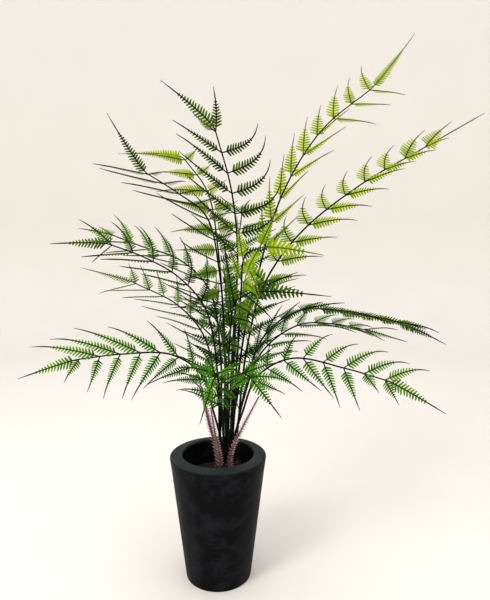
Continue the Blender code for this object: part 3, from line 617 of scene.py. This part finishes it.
def walk_along(bench, lines, pitch):
    """Points at a pitch along the lines, with their heading, upper side and way across."""
    spaced = bench.node("GeometryNodeResampleCurve", {"Curve": lines, "Length": pitch},
                        mode="LENGTH")
    tangent, upper = bench.node("GeometryNodeInputTangent"), known_value(bench, "upper")
    return spaced, tangent, upper, bench.vector("CROSS_PRODUCT", tangent, upper)


def grow_tube(bench, lines, finish):
    """A round stalk along each line, as broad as the solid's square one, with closed ends."""
    ring = bench.node("GeometryNodeCurvePrimitiveCircle",
                      {"Resolution": TUBE_SIDES, "Radius": ROUND_FROM_SQUARE})
    tube = bench.node("GeometryNodeCurveToMesh", {
        "Curve": lines, "Profile Curve": ring, "Scale": known_value(bench, "half"),
        "Fill Caps": True})
    return bench.node("GeometryNodeSetMaterial", {0: tube, "Material": finish})


def grow_scales(bench, lines, take, lean):
    """Scales in a spiral along each line, longer where its points are scalier."""
    spaced, tangent, upper, across = walk_along(bench, lines, take["Scale pitch"])
    turn = bench.node("GeometryNodeInputIndex") * SPIRAL_TURN
    outwards = across * bench.math("COSINE", turn) + upper * bench.math("SINE", turn)
    scaly = known_value(bench, "scaly")
    moved = bench.node("GeometryNodeSetPosition", {
        "Geometry": spaced, "Offset": outwards * (known_value(bench, "half") * 0.8)})
    scales = set_blades(
        bench, moved, take["Blade"], tangent + outwards * lean, outwards,
        (take["Scale length"] * scaly, take["Scale width"] * scaly, SCALE_THICKNESS),
        scaly.above(0.05))
    return dress(bench, scales, take["Scale finish"])


def stalk_tree(name, values, lean, sides=()):
    """Stalks with scales on them, and leaflets on the sides that are given."""
    bench, take = start_tree(name, values)
    lines = bench.node("GeometryNodeMeshToCurve", {"Mesh": take["Geometry"]})
    parts = [grow_tube(bench, lines, take["Stalk finish"]), grow_scales(bench, lines, take, lean)]
    parts += [grow_leaflets(bench, lines, take, side) for side in sides]
    return end_tree(bench, bench.node("GeometryNodeJoinGeometry", {0: parts}))


values = {
    "Blade": blade, "Scale pitch": CROZIER_SCALE_PITCH, "Scale length": BRISTLE_LENGTH,
    "Scale width": CROZIER_SCALE_WIDTH,
    "Stalk finish": bark_finish("crozier_stalk", (0.05, 0.026, 0.028), (0.22, 0.13, 0.13)),
    "Scale finish": bark_finish("crozier_scale", (0.27, 0.15, 0.16), (0.8, 0.6, 0.61))}
growing = stalk_tree("crozier", values, CROZIER_SCALE_LEAN)
for crozier, path in CROZIERS.items():
    line = crozier_line(path)
    shares = np.linspace(0, 1, STALK_STEPS)
    halves = CROZIER_BASE_HALF + (CROZIER_END_HALF - CROZIER_BASE_HALF) * shares
    halves[-1] = CROZIER_END_HALF / 4
    scaly = np.interp(shares, (0, 0.6, 0.85, 1), (1, 0.9, 0.6, 0.4))
    run = (line, shares * line.length, halves, scaly, -np.ones(STALK_STEPS))
    piece = trace_piece(crozier + "_stalk", [run])
    run_tree(piece, growing, values)
    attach(piece, "root")
    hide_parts(crozier)


# Fronds. Each is a stiff dark stem with pinnae in pairs, and each pinna is a dark midrib combed
# with narrow leaflets and drawn out to a bare tail. They grow in four greens, from a deep green
# in the middle to lime on the long high ones, and the stems stand in the drilled rootstock. The
# pale and lime greens are partly the leaves' own colour and partly painted light, the glow of
# light shining through them.

STEM_FOOT = 0.262
STEM_STRAIGHT_TOP = 0.335
STEM_SPREAD = 1.35
STEM_HALVES = (0.0021, 0.0019, 0.0012)
RING_RADII = (0, 0.0077, 0.0154)
STEM_SCALE_PITCH = 0.0013
STEM_SCALE_LENGTH = 0.0034
STEM_SCALE_WIDTH = 0.0012
STEM_SCALE_LEAN = 0.5
RIB_HALF_WIDTH = 0.0012
RIB_LEAST = 0.55
RIB_STEPS = 26
SPINE_STEPS = 10
BARE_ROOT = 0.08
COMB_END = 0.7
END_BEND = 0.15
LAST_GAP = 0.06
MIDDLE_SWELL = 0.12
FIRST_SEED = 100
SPREAD_WOBBLE = 4
REACH_WOBBLE = 0.06
CURL_WOBBLE = 0.15
DROOP_WOBBLE = 0.1
LEAFLET_PITCH = 0.0062
LEAFLET_LENGTH = 0.0166
LEAFLET_WIDTHS = {"deep": 0.0046, "mid": 0.0044, "pale": 0.0044, "lime": 0.0052}
LEAFLET_THICKNESS = 0.0005
LEAFLET_STATIONS = ((0, 1.15), (0.1, 1.08), (0.3, 1), (0.55, 0.92), (0.78, 0.72), (0.92, 0.42))
LEAFLET_HOOK = 0.16
LEAFLET_SLANT = math.radians(62)
SLANT_WOBBLE = 0.06
LEAFLET_FALL = 0.1
ROOT_SHARE = 0.88
LONGEST_SHARE = 0.1
END_SHARE = 0.2
FALL_POWER = 1.7

# The room that a pinna keeps round itself, and the ways it may bend to find that room
ROOM_SIDE = 0.0016
STEM_ROOM_STEPS = 33
CROZIER_ROOM_STEPS = 12
ROOM_HALF_HEIGHT = 0.0024
ROOM_START = 0.11
OWN_STEM_START = 0.25
BENDS = (
    (0, 0, 1), (0, 10, 1), (0, -10, 1), (9, 0, 1), (-9, 0, 1), (0, 20, 1), (0, -20, 1),
    (14, 12, 1), (14, -12, 1), (-12, 14, 0.95), (-12, -14, 0.95), (0, 32, 0.95), (0, -32, 0.95),
    (16, 26, 0.85), (16, -26, 0.85), (-14, 26, 0.8), (-14, -26, 0.8), (0, 0, 0.75), (0, 44, 0.8),
    (0, -44, 0.8), (0, 18, 0.6), (0, -18, 0.6), (0, 0, 0.5), (20, 40, 0.5), (20, -40, 0.5),
)


# One side's pinnae. reach is their length in millimetres and spread their angle to the stem in
# degrees, each listed evenly from the lowest pair to the top one. curl hooks them towards the
# frond's tip, droop lets them hang, lean turns their own upper sides, and breadth is how long
# their leaflets are beside the usual ones.
Pinnae = namedtuple("Pinnae", "reach spread curl droop lean breadth", defaults=((0, 0, 0), 1))

# slot is the stem's ring on the rootstock and its bearing in degrees from +X. Pinnae start at the
# share first of the way along. Left and right are seen from above with the frond pointing away,
# and aside is the way that the right side looks. path has the points, in millimetres, that the
# stem passes after the straight bundle, and the tip of its last pinna, for which end_lean and
# end_breadth do what lean and breadth do for the others.
Frond = namedtuple("Frond", "name tone slot first pairs aside path left right end_lean"
                   " end_breadth", defaults=((0, 0, 0), 1))
BACK = Pinnae((120, 95), (62, 54), 0.2, 0.2)
FRONDS = [Frond(*row) for row in (
    ("upright_front", "deep", (0, 0), 0.665, 7, (1, 0.05, 0.1),
     ((36, -30, 560), (48, -55, 785), (35, -70, 915), (3, -90, 1033), (-108, -105, 1130)),
     Pinnae((130, 112), (46, 34), 0, 0, (0.3, 0, 1)),
     Pinnae((105, 110, 108, 88), (84, 82, 82, 84, 88, 90, 18), 1.8, 0), (0, -0.5, 0)),
    ("lime_tall", "lime", (1, 0), 0.52, 9, (0.7, -0.5, -0.5),
     ((60, 10, 575), (95, 50, 725), (155, 80, 920), (255, 120, 1080), (380, 155, 1186),
      (495, 180, 1330)), Pinnae((135, 90), (22, 28, 62), 0.5, -0.1, (-0.2, -3, 0), 1.3),
     Pinnae((115, 95), (46, 38), 0, 0.1, (0, 0.1, 0.4), 0.9), (-0.2, -1.2, 0.1), 0.9),
    ("lime_long", "lime", (2, 5), 0.47, 10, (0.42, -0.85, -0.35),
     ((70, 18, 560), (110, 28, 705), (195, 40, 825), (340, 60, 940), (499, 80, 1032),
      (645, 100, 1115)),
     Pinnae((110, 105, 95, 100, 145), (74, 72, 66, 58, 36), 1.2, -0.1, (0, -3, 0), 1.5),
     Pinnae((125, 120, 100, 75, 60), (62, 54, 44, 34, 44), 0.1, 0.35, (0, -0.9, 0.2), 1.1),
     (0, 0.4, 0.3), 0.65),
    ("dark_high_left", "deep", (1, 180), 0.5, 9, (0.57, 0.82, 0.08),
     ((18, -18, 555), (6, -24, 740), (-22, -12, 860), (-90, 22, 916), (-167, 60, 965),
      (-258, 50, 1103)), Pinnae((115, 140), (74, 68, 62, 56), 0.1, 0, (0, 0.9, 2), 0.8),
     Pinnae((110, 85), (80, 84), -0.1, 0, (0, 0, 0.3)), (0, -1.5, 0)),
    ("yellow_back", "lime", (1, 120), 0.54, 8, (0.55, 0.8, 0.1),
     ((14, 42, 570), (-2, 90, 785), (-30, 130, 930), (-90, 160, 1015), (-270, 200, 1035)),
     Pinnae((140, 145), (104, 80), -0.1, 0, (0, -1.2, 0), 1.1),
     Pinnae((100, 110), (78, 66), 0.2, 0), (0, -2, 0.4)),
    ("left_hooked", "mid", (2, 155), 0.5, 8, (0.42, 0.85, 0.4),
     ((6, 34, 520), (-22, 50, 690), (-95, 62, 762), (-190, 70, 795), (-262, 80, 822),
      (-345, 90, 838)), Pinnae((110, 100), (50, 28), 0.1, 0, (0, 0.8, 1)),
     Pinnae((95, 80), (66, 40), 1, -0.1, (0, -0.9, 0)), (0, -0.6, 0)),
    ("left_dark", "deep", (2, 185), 0.44, 9, (0.4, 0.85, 0.35),
     ((2, -28, 490), (-22, -60, 655), (-78, -82, 728), (-145, -100, 770), (-215, -112, 798),
      (-335, -130, 800)), Pinnae((120, 105), (50, 30), 0.1, 0.1, (0, 0.6, 0.8)),
     Pinnae((110, 105, 90, 100), (84, 80, 78, 76, 40), 1.4, -0.2, (0, -0.9, 0)), (0, -0.5, 0)),
    ("left_pale", "pale", (2, 125), 0.45, 8, (0.4, 0.8, 0.5),
     ((-6, 66, 440), (-40, 96, 570), (-110, 125, 645), (-225, 165, 697), (-380, 215, 735)),
     Pinnae((118, 95), (54, 34), 0.1, 0.1, (0, 0.6, 0.8)),
     Pinnae((105, 65), (60, 32), 0.4, -0.1, (0, -0.9, 0))),
    ("low_left", "mid", (2, 215), 0.46, 8, (0, 0.3, 0.95),
     ((-8, -46, 420), (-34, -74, 515), (-95, -100, 563), (-195, -130, 570),
      (-281, -144, 562), (-400, -160, 525)),
     Pinnae((105, 100, 100, 85, 65), (50, 58, 64, 66, 58), 0, 0.2, breadth=0.85),
     Pinnae((80, 95, 120, 135, 125), (40, 31, 25, 23, 26), 0, 0.35, (0, 0, 0.8)), (0, 0, 0.4)),
    ("right_arch_high", "deep", (2, 335), 0.42, 9, (0.1, -1, 0.1),
     ((62, -12, 450), (108, -2, 585), (195, 14, 645), (305, 30, 637), (435, 48, 612),
      (560, 62, 553)), Pinnae((105, 105), (50, 26), 0.3, 0.1, (0, -1.5, 0)),
     Pinnae((105, 105), (56, 26), 0.3, 0.3, (0, -1, 0)), (0, -1.5, 0)),
    ("right_arch_low", "mid", (2, 35), 0.44, 8, (0.1, -0.95, -0.3),
     ((60, 50, 415), (108, 90, 530), (205, 130, 592), (300, 155, 590), (385, 172, 572),
      (505, 190, 535)), Pinnae((105, 100), (54, 30), 0.3, 0.3, (0, -0.7, 0)),
     Pinnae((115, 95), (58, 40), 0.2, 0.4, (0, 0.1, 0.5)), (0, -0.2, 0)),
    ("low_right", "mid", (2, 305), 0.45, 8, (-0.2, -0.35, -0.9),
     ((58, -44, 415), (92, -74, 508), (165, -102, 555), (275, -132, 540), (356, -149, 519),
      (470, -180, 458)), Pinnae((60, 60, 75, 94, 90), (62, 56, 52, 50, 38), 0.4, 0.6),
     Pinnae((95, 98, 88, 76), (52, 50, 48, 38), 0, 0.1)),
    ("front_right", "mid", (2, 275), 0.52, 6, (-0.8, -0.3, -0.5),
     ((44, -62, 440), (58, -115, 525), (72, -170, 533), (137, -200, 456)),
     Pinnae((100, 90), (60, 48), 0.1, 0.3, (0, -1.6, 0)),
     Pinnae((100, 90), (60, 48), 0.1, 0.6, (0, -1.6, 0)), (0, -2, 0)),
    ("front_left", "mid", (2, 245), 0.54, 6, (-0.9, 0.3, 0.1),
     ((12, -68, 445), (6, -125, 525), (4, -170, 535), (-24, -220, 450)),
     Pinnae((100, 90), (60, 44), 0.1, 1.2, (0, -1.6, 0)),
     Pinnae((105, 90), (60, 44), 0.1, 0.5, (0, -1.6, 0)), (0, -2, 0)),
    ("front_lime", "lime", (1, 300), 0.66, 5, (0.35, -0.9, -0.2),
     ((48, -62, 560), (56, -100, 700), (66, -130, 778), (96, -142, 792), (220, -170, 777)),
     Pinnae((115, 100), (68, 60), 0.2, 0.1, (0, -1.4, 0)),
     Pinnae((115, 100), (72, 76, 112), 0, 0.9, (0, -1.4, 0)), (0, -1.5, 0), 1.3),
    ("front_mid", "deep", (1, 240), 0.5, 8, (0.3, -0.9, -0.3),
     ((26, -62, 500), (34, -105, 620), (44, -130, 680), (66, -140, 697), (238, -160, 694)),
     Pinnae((115, 125), (70, 26), 0.1, 0.1, (0, -1.6, 0)),
     Pinnae((115, 100), (70, 60), 0.1, 0.3, (0, -1.4, 0)), (0, -1.5, 0), 1.3),
    ("back_left", "deep", (2, 95), 0.48, 6, (0.95, 0.3, 0),
     ((18, 82, 500), (-15, 165, 610), (-65, 270, 635), (-110, 400, 590)), BACK, BACK),
    ("back_right", "deep", (2, 65), 0.48, 6, (0.9, -0.4, 0),
     ((52, 90, 510), (85, 180, 645), (130, 300, 675), (190, 425, 635)), BACK, BACK),
    ("back_high", "mid", (1, 60), 0.52, 6, (1, 0, 0),
     ((40, 72, 590), (46, 140, 785), (56, 235, 885), (80, 360, 930)), BACK, BACK),
)]


def stem_line(frond):
    ring, bearing = frond.slot
    bearing = math.radians(bearing)
    outward = np.array([math.cos(bearing), math.sin(bearing)]) * RING_RADII[ring]
    foot = np.append(STOCK_CENTRE + outward, STEM_FOOT)
    straight_top = np.append(STOCK_CENTRE + outward * STEM_SPREAD, STEM_STRAIGHT_TOP)
    path = smooth_path((foot, straight_top, *np.array(frond.path[:-1]) / 1000))
    return Line(path, np.cross(frond.aside, path[-1] - path[len(path) // 2]))


def pinna_line(root, heading, upper, along, reach, curl, droop, breadth):
    """A midrib that leaves along heading, hooks towards the frond's tip and hangs."""
    points = [root]
    for step in range(SPINE_STEPS):
        turn = 3 * (step + 0.5) ** 2 / SPINE_STEPS ** 3
        heading = unit(heading + turn * (curl * along - np.array([0, 0, droop])))
        points.append(points[-1] + heading * reach / SPINE_STEPS)
    return Line(np.array(points), upper, breadth)


def end_pinna_line(stem, frond):
    """The last pinna: it carries the stem on and bends over to the frond's tip."""
    root, heading, upper, _ = stem.at(stem.length)
    tip = np.array(frond.path[-1]) / 1000
    bend = root + heading * np.linalg.norm(tip - root) * END_BEND
    t = np.linspace(0, 1, SPINE_STEPS + 1)[:, None]
    path = (1 - t) ** 2 * root + 2 * t * (1 - t) * bend + t ** 2 * tip
    return Line(path, unit(upper + frond.end_lean), frond.end_breadth)


def stem_halves(stem, distances, first):
    """Half the stem's breadth, which tapers slowly up to its first pinnae and then faster."""
    return np.interp(distances / stem.length, (0, first, 1), STEM_HALVES)


def leaflet_length(line, distance):
    """Leaflets are longest near the pinna's root and shorten evenly towards its tail."""
    share = max(0, (distance / line.length - BARE_ROOT) / (COMB_END - BARE_ROOT))
    rise = min(1, ROOT_SHARE + (1 - ROOT_SHARE) * share / LONGEST_SHARE)
    fall = max(0, 1 - (1 - END_SHARE) * share ** FALL_POWER)
    return LEAFLET_LENGTH * line.leaf_size * rise * fall


def room(line, half_widths, half_height, start=0):
    """A closed strip round a line, for telling what would cross it."""
    corners = []
    distances = np.linspace(start * line.length, line.length, len(half_widths))
    for distance, half in zip(distances, half_widths):
        centre, _, upper, across = line.at(distance)
        for side, lift in ((1, 1), (-1, 1), (-1, -1), (1, -1)):
            corners.append(centre + across * side * half + upper * lift * half_height)
    last = len(corners) - 4
    faces = [(3, 2, 1, 0), (last, last + 1, last + 2, last + 3)]
    for ring in range(0, last, 4):
        for k in range(4):
            a, b = ring + k, ring + (k + 1) % 4
            faces.append((a, b, b + 4, a + 4))
    corners = np.array(corners)
    tree = BVHTree.FromPolygons(corners.tolist(), faces)
    return corners.min(axis=0), corners.max(axis=0), tree


def pinna_room(line, start=ROOM_START):
    halves = []
    for distance in np.linspace(start * line.length, line.length, SPINE_STEPS + 1):
        behind = distance - LEAFLET_LENGTH * math.cos(LEAFLET_SLANT)
        longest = max(leaflet_length(line, spot) for spot in (distance, behind))
        halves.append(longest * math.sin(LEAFLET_SLANT) + ROOM_SIDE)
    return room(line, halves, ROOM_HALF_HEIGHT, start)


def crosses(candidate, placed):
    low, high, tree = candidate
    return any((low <= other_high).all() and (high >= other_low).all() and tree.overlap(other)
               for other_low, other_high, other in placed)


def read_list(values, share):
    """The value at a share of the way along a list of evenly spaced ones."""
    return np.interp(share, np.linspace(0, 1, len(values)), values)


def fit_pinna(frame, share, side, sign, wobble, placed, own):
    """A pinna on one side at a place on the stem, bent until it is clear, or None."""
    root, along, upper, across = frame
    swell = 1 + MIDDLE_SWELL * math.sin(math.pi * share)
    spread = read_list(side.spread, share) + SPREAD_WOBBLE * wobble[0]
    reach = read_list(np.array(side.reach) / 1000, share) * swell * (1 + REACH_WOBBLE * wobble[1])
    curl = side.curl + CURL_WOBBLE * wobble[2]
    droop = side.droop + DROOP_WOBBLE * wobble[3]
    leaning = unit(upper + side.lean)
    for turn, lift, scale in BENDS:
        out = math.radians(spread + turn)
        heading = math.cos(out) * along + math.sin(out) * sign * across
        heading = unit(heading + math.tan(math.radians(lift)) * upper)
        line = pinna_line(root, heading, leaning, along, reach * scale, curl, droop, side.breadth)
        space = pinna_room(line)
        outer = pinna_room(line, OWN_STEM_START)
        if not crosses(space, placed) and not crosses(outer, [own]):
            return line, space
    return None, None


def lay_out_fronds():
    """Every frond's stem and pinnae, each pinna bent clear of all that is placed before it."""
    stems = [stem_line(frond) for frond in FRONDS]
    ends = [end_pinna_line(stem, frond) for stem, frond in zip(stems, FRONDS)]
    stem_rooms = []
    for stem, frond in zip(stems, FRONDS):
        distances = np.linspace(0, stem.length, STEM_ROOM_STEPS)
        halves = stem_halves(stem, distances, frond.first) + ROOM_SIDE
        stem_rooms.append(room(stem, halves, STEM_HALVES[0] + ROOM_SIDE / 2))
    placed = [room(crozier_line(path), [BRISTLE_LENGTH] * CROZIER_ROOM_STEPS, BRISTLE_LENGTH)
              for path in CROZIERS.values()]
    placed += [pinna_room(end) for end in ends]
    layout = []
    for index, (frond, stem, own) in enumerate(zip(FRONDS, stems, stem_rooms)):
        others = [other for other in stem_rooms if other is not own]
        draws = np.random.default_rng(FIRST_SEED + index)
        first = frond.first * stem.length
        pitch = (stem.length - first) / (frond.pairs - 1 + LAST_GAP)
        ribs = [ends[index]]
        for pair in range(frond.pairs):
            spot = stem.at(first + pitch * pair)
            for side, sign in ((frond.left, -1), (frond.right, 1)):
                line, space = fit_pinna(spot, pair / (frond.pairs - 1), side, sign,
                                        draws.uniform(-1, 1, 4), placed + others, own)
                if line:
                    ribs.append(line)
                    placed.append(space)
        layout.append((frond, stem, ribs))
    return layout


def leaflet_blade():
    """A blunt leaflet, folded a little, with the place along and across it as UV."""
    bm = blade_shape(LEAFLET_STATIONS, LEAFLET_HOOK, -0.9, 0.55, 0.45, -0.9)
    grain = bm.loops.layers.uv.new("UVMap")
    for face in bm.faces:
        for loop in face.loops:
            x, y, _ = loop.vert.co
            loop[grain].uv = (x, y - LEAFLET_HOOK * x * x + 0.5)
    return finish_mesh("leaflet_blade", bm, 75)


def leaf_finish(name, shaded, bright, rib, inner, older):
    """Leaf skin: each leaflet a tone of its own between the shaded and the lit colour, partly its
    own tone and partly painted light, with painted shade at its foot and on its lower half.
    inner is how much painted shade darkens the leaves close to the stems, and older is the
    colour of the low ones."""
    bench = start_finish(name)
    place = bench.place()
    tint, share = (bench.node("ShaderNodeAttribute", attribute_name=label).other("Fac")
                   for label in ("tint", "share"))
    surface = bench.node("ShaderNodeUVMap", uv_map="UVMap")
    along, across = bench.axis(surface, 0), bench.axis(surface, 1)
    aside = abs(across - 0.5)
    midvein = 1 - bench.spread(aside, 0.03, 0.11)
    veins = bench.spread(bench.math("SINE", (along - aside * 0.7) * 56), 0.55, 1)
    mottle = bench.noise(place, 260, 3)
    # Each leaflet's colour runs from the shaded to the lit leaf colour by its own tint, its place
    # on the comb and a broad noise: partly the leaves' own tone and partly painted light.
    tone_mix = 0.36 * tint + 0.3 * share + 0.34 * bench.spread(bench.noise(place, 17, 1), 0.35, 0.65)
    colour = bench.mix(tone_mix + 0.25 * (mottle - 0.5), shaded, bright)
    far = bench.vector("LENGTH", (place - (*STOCK_CENTRE, 0)) * (1, 1, 0))
    low = 1 - bench.spread(bench.axis(place, 2), 0.62, 0.92)
    low = low * (1 - bench.spread(far, 0.12, 0.32))
    colour = bench.mix(low * 0.75, colour, older)
    # Painted shade: darker on each leaflet's lower half and at its foot beside the rib.
    lower = bench.spread(across, 0.5, 0.8) * 0.55
    foot = 0.45 - 0.45 * bench.spread(along, 0, 0.45)
    # Painted shade: the leaves close to the bundle of stems are darker, by as much as inner.
    shade = (1 - bench.spread(far, 0.03, 0.16)) * (1.3 - tint) * inner
    painted_shade_and_midvein = lower.most(foot).most(midvein * 0.75).most(shade)
    # Each leaflet is darkened towards the rib colour by its real midvein and veins and by the
    # painted shade above.
    colour = bench.mix(painted_shade_and_midvein + veins * 0.12, colour, rib)
    relief = veins * 0.4 + midvein + mottle * 0.5
    return end_finish(bench, colour, 0.4 + 0.16 * mottle, relief, 0.00012, SOFT_SHINE)


def stem_finish(name, rib, tail):
    """Nearly black green, paler in streaks and along the midribs and their tails."""
    bench = start_finish(name)
    place = bench.place()
    streaks = bench.noise(place * (420, 420, 26), 1, 3)
    tone_mix = bench.spread(streaks * 0.6 + bench.noise(place, 9) * 0.4, 0.46, 0.72)
    share = bench.node("ShaderNodeAttribute", attribute_name="share").other("Fac")
    skin = bench.mix(tone_mix, (0.003, 0.0065, 0.0035), (0.022, 0.038, 0.018))
    skin = bench.mix(bench.spread(share, -0.5, -0.1), skin, rib)
    skin = bench.mix(bench.spread(share, 0.7, 1.1), skin, tail)
    return end_finish(bench, skin, 0.5 + 0.2 * streaks, streaks, 0.0002, SOFT_SHINE)


def grow_leaflets(bench, lines, take, side):
    """One side's leaflets: each leaves the midrib at a slant, as long as its place allows."""
    size, share = known_value(bench, "size"), known_value(bench, "share")
    spaced, tangent, upper, across = walk_along(bench, lines, take["Leaflet pitch"] * size)
    wobble = chance(bench, -1, 1, take["Seed"] + (3 + side))
    slant = take["Slant"] + SLANT_WOBBLE * wobble
    heading = tangent * bench.math("COSINE", slant)
    heading = heading + across * (bench.math("SINE", slant) * side) - upper * take["Fall"]
    rise = (ROOT_SHARE + (1 - ROOT_SHARE) / LONGEST_SHARE * share).least(1)
    fall = 1 - (1 - END_SHARE) * share.most(0) ** FALL_POWER
    length = take["Leaflet length"] * size * rise * fall * (0.95 + 0.05 * wobble)
    width = take["Leaflet width"] * size * (0.6 + 0.4 * fall)
    leaves = set_blades(bench, spaced, take["Leaflet"], heading, upper,
                        (length, width * -side, take["Leaflet thickness"]),
                        share.above(-0.01) * (1 - share).above(0.02))
    leaves = bench.node("GeometryNodeStoreNamedAttribute", {
        "Geometry": leaves, "Name": "tint", "Value": chance(bench, 0, 1, take["Seed"])},
        data_type="FLOAT", domain="INSTANCE")
    if side > 0:
        leaves = bench.node("GeometryNodeFlipFaces", {0: leaves})
    return dress(bench, leaves, take["Leaf finish"])


def frond_runs(frond, stem, ribs):
    """The lines of one frond: its stem, and a midrib for each pinna."""
    distances = np.linspace(0, stem.length, STALK_STEPS)
    bare = frond.first * stem.length
    scaly = np.interp(distances, (0, 0.5 * bare, bare, 1.3 * bare), (0.9, 1, 0.5, 0))
    runs = [(stem, distances, stem_halves(stem, distances, frond.first), scaly,
             -np.ones(STALK_STEPS))]
    for line in ribs:
        shares = np.linspace(0, 1, RIB_STEPS)
        size = min(1, RIB_LEAST + (1 - RIB_LEAST) * line.length / FULL_REACH)
        halves = RIB_HALF_WIDTH * size * np.interp(shares, (0, 0.2, 0.8, 1), (1, 0.9, 1, 0.35))
        comb = (shares - BARE_ROOT) / (COMB_END - BARE_ROOT)
        runs.append((line, shares * line.length, halves, np.zeros(RIB_STEPS), comb))
    return runs


# Each stem's midribs and tails
STEM_COLOURS = {
    "deep": ((0.004, 0.012, 0.005), (0.007, 0.013, 0.006)),
    "mid": ((0.013, 0.042, 0.008), (0.028, 0.048, 0.012)),
    "pale": ((0.045, 0.095, 0.02), (0.1, 0.13, 0.055)),
    "lime": ((0.07, 0.11, 0.006), (0.17, 0.2, 0.055)),
    "lime_long": ((0.012, 0.022, 0.004), (0.12, 0.14, 0.05)),
}
# Shaded, lit, rib (also used for painted shade), painted shade inside the bundle, and older
LEAF_COLOURS = {
    "deep": ((0.009, 0.046, 0.003), (0.21, 0.35, 0.008), (0.002, 0.01, 0.001), 0.7,
             (0.03, 0.15, 0.012)),
    "mid": ((0.038, 0.165, 0.003), (0.32, 0.57, 0.012), (0.008, 0.045, 0.002), 0.7,
            (0.07, 0.3, 0.025)),
    "pale": ((0.08, 0.19, 0.012), (0.4, 0.54, 0.11), (0.03, 0.08, 0.006), 0.5,
             (0.16, 0.34, 0.05)),
    "lime": ((0.18, 0.33, 0.002), (0.61, 0.69, 0.006), (0.07, 0.12, 0.001), 0.2,
             (0.045, 0.27, 0.006)),
}
leaflet = make_piece("leaflet_blade", leaflet_blade())
stems = {tone: stem_finish("stem_" + tone, *hues) for tone, hues in STEM_COLOURS.items()}
stem_scale = bark_finish("stem_scale", (0.01, 0.008, 0.006), (0.055, 0.04, 0.028))
leaves = {tone: leaf_finish("leaf_" + tone, *hues) for tone, hues in LEAF_COLOURS.items()}
growing = None
for index, (frond, stem, ribs) in enumerate(lay_out_fronds()):
    values = {
        "Blade": blade, "Scale pitch": STEM_SCALE_PITCH, "Scale length": STEM_SCALE_LENGTH,
        "Scale width": STEM_SCALE_WIDTH, "Scale finish": stem_scale,
        "Stalk finish": stems.get(frond.name, stems[frond.tone]),
        "Leaflet": leaflet, "Leaflet pitch": LEAFLET_PITCH, "Leaflet length": LEAFLET_LENGTH,
        "Leaflet width": LEAFLET_WIDTHS[frond.tone], "Leaflet thickness": LEAFLET_THICKNESS,
        "Slant": LEAFLET_SLANT, "Fall": LEAFLET_FALL, "Seed": index,
        "Leaf finish": leaves[frond.tone]}
    growing = growing or stalk_tree("frond", values, STEM_SCALE_LEAN, (-1, 1))
    node = "frond_" + frond.name
    piece = trace_piece(node + "_grown", frond_runs(frond, stem, ribs))
    run_tree(piece, growing, values)
    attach(piece, "root")
    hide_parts(node)
for pattern in (blade, leaflet):
    bpy.data.objects.remove(pattern)


# Setting. A pale studio floor that curves up into a wall all round, lit softly from above, and
# a camera at standing height that looks a little down on the plant.

FLOOR_RADIUS = 3.0
FLOOR_DROP = 0.0002
SWEEP_RADIUS = 1.0
SWEEP_SIDES = 96
WALL_TOP = 3.6
CAMERA_PLACE = (0.0643, -1.2, 0.7984)
CAMERA_DIP = math.radians(6.1)
FRAME_HEIGHT = 600
FOCAL_PIXELS = 520
SENSOR = 36.0


def sweep_stage():
    profile = [(0, 0), (FLOOR_RADIUS * 0.5, 0)]
    profile += corner_arc((FLOOR_RADIUS, SWEEP_RADIUS), SWEEP_RADIUS, -90, 0, 16)
    profile += [(FLOOR_RADIUS + SWEEP_RADIUS, WALL_TOP)]
    bm = turn_profile([(radius, height - FLOOR_DROP) for radius, height in profile], SWEEP_SIDES)
    mesh = bpy.data.meshes.new("studio_sweep")
    bm.to_mesh(mesh)
    bm.free()
    mesh.shade_smooth()
    bench = start_finish("studio_paint")
    paint = bench.mix(bench.noise(bench.place(), 3), (0.81, 0.785, 0.75), (0.84, 0.815, 0.78))
    bench.feed(bench.tree.nodes["Principled BSDF"], {"Base Color": paint, "Roughness": 0.9})
    return make_piece("studio_sweep", mesh, bench.owner)


def hang_light(name, place, target, width, power, colour):
    lamp = bpy.data.lights.new(name, "AREA")
    lamp.shape = "DISK"
    lamp.size = width
    lamp.energy = power
    lamp.color = colour
    holder = make_piece(name, lamp)
    holder.location = place
    aim = Vector(target) - Vector(place)
    holder.rotation_euler = aim.to_track_quat("-Z", "Y").to_euler()


sweep_stage()
hang_light("key", (-1.5, -1.7, 2.3), (0, 0, 0.7), 1, 33, (1, 0.985, 0.96))
hang_light("fill", (2.1, -1.3, 1.5), (0, 0, 0.6), 1.6, 5, (0.95, 0.98, 1))
hang_light("top", (0.2, 0.4, 3.1), (0, 0, 0.5), 2.4, 6, (1, 1, 1))
world = bpy.data.worlds.new("studio_air")
world.use_nodes = True
air = world.node_tree.nodes["Background"].inputs
air["Color"].default_value = (1, 0.995, 0.985, 1)
air["Strength"].default_value = 1
scene = bpy.context.scene
scene.world = world
scene.view_settings.view_transform = "Standard"
scene.view_settings.look = "Medium High Contrast"

lens = bpy.data.cameras.new("camera")
lens.sensor_width = SENSOR
lens.lens = SENSOR * FOCAL_PIXELS / FRAME_HEIGHT
camera = make_piece("camera", lens)
camera.location = CAMERA_PLACE
camera.rotation_euler = (math.radians(90) - CAMERA_DIP, 0, 0)
scene.camera = camera
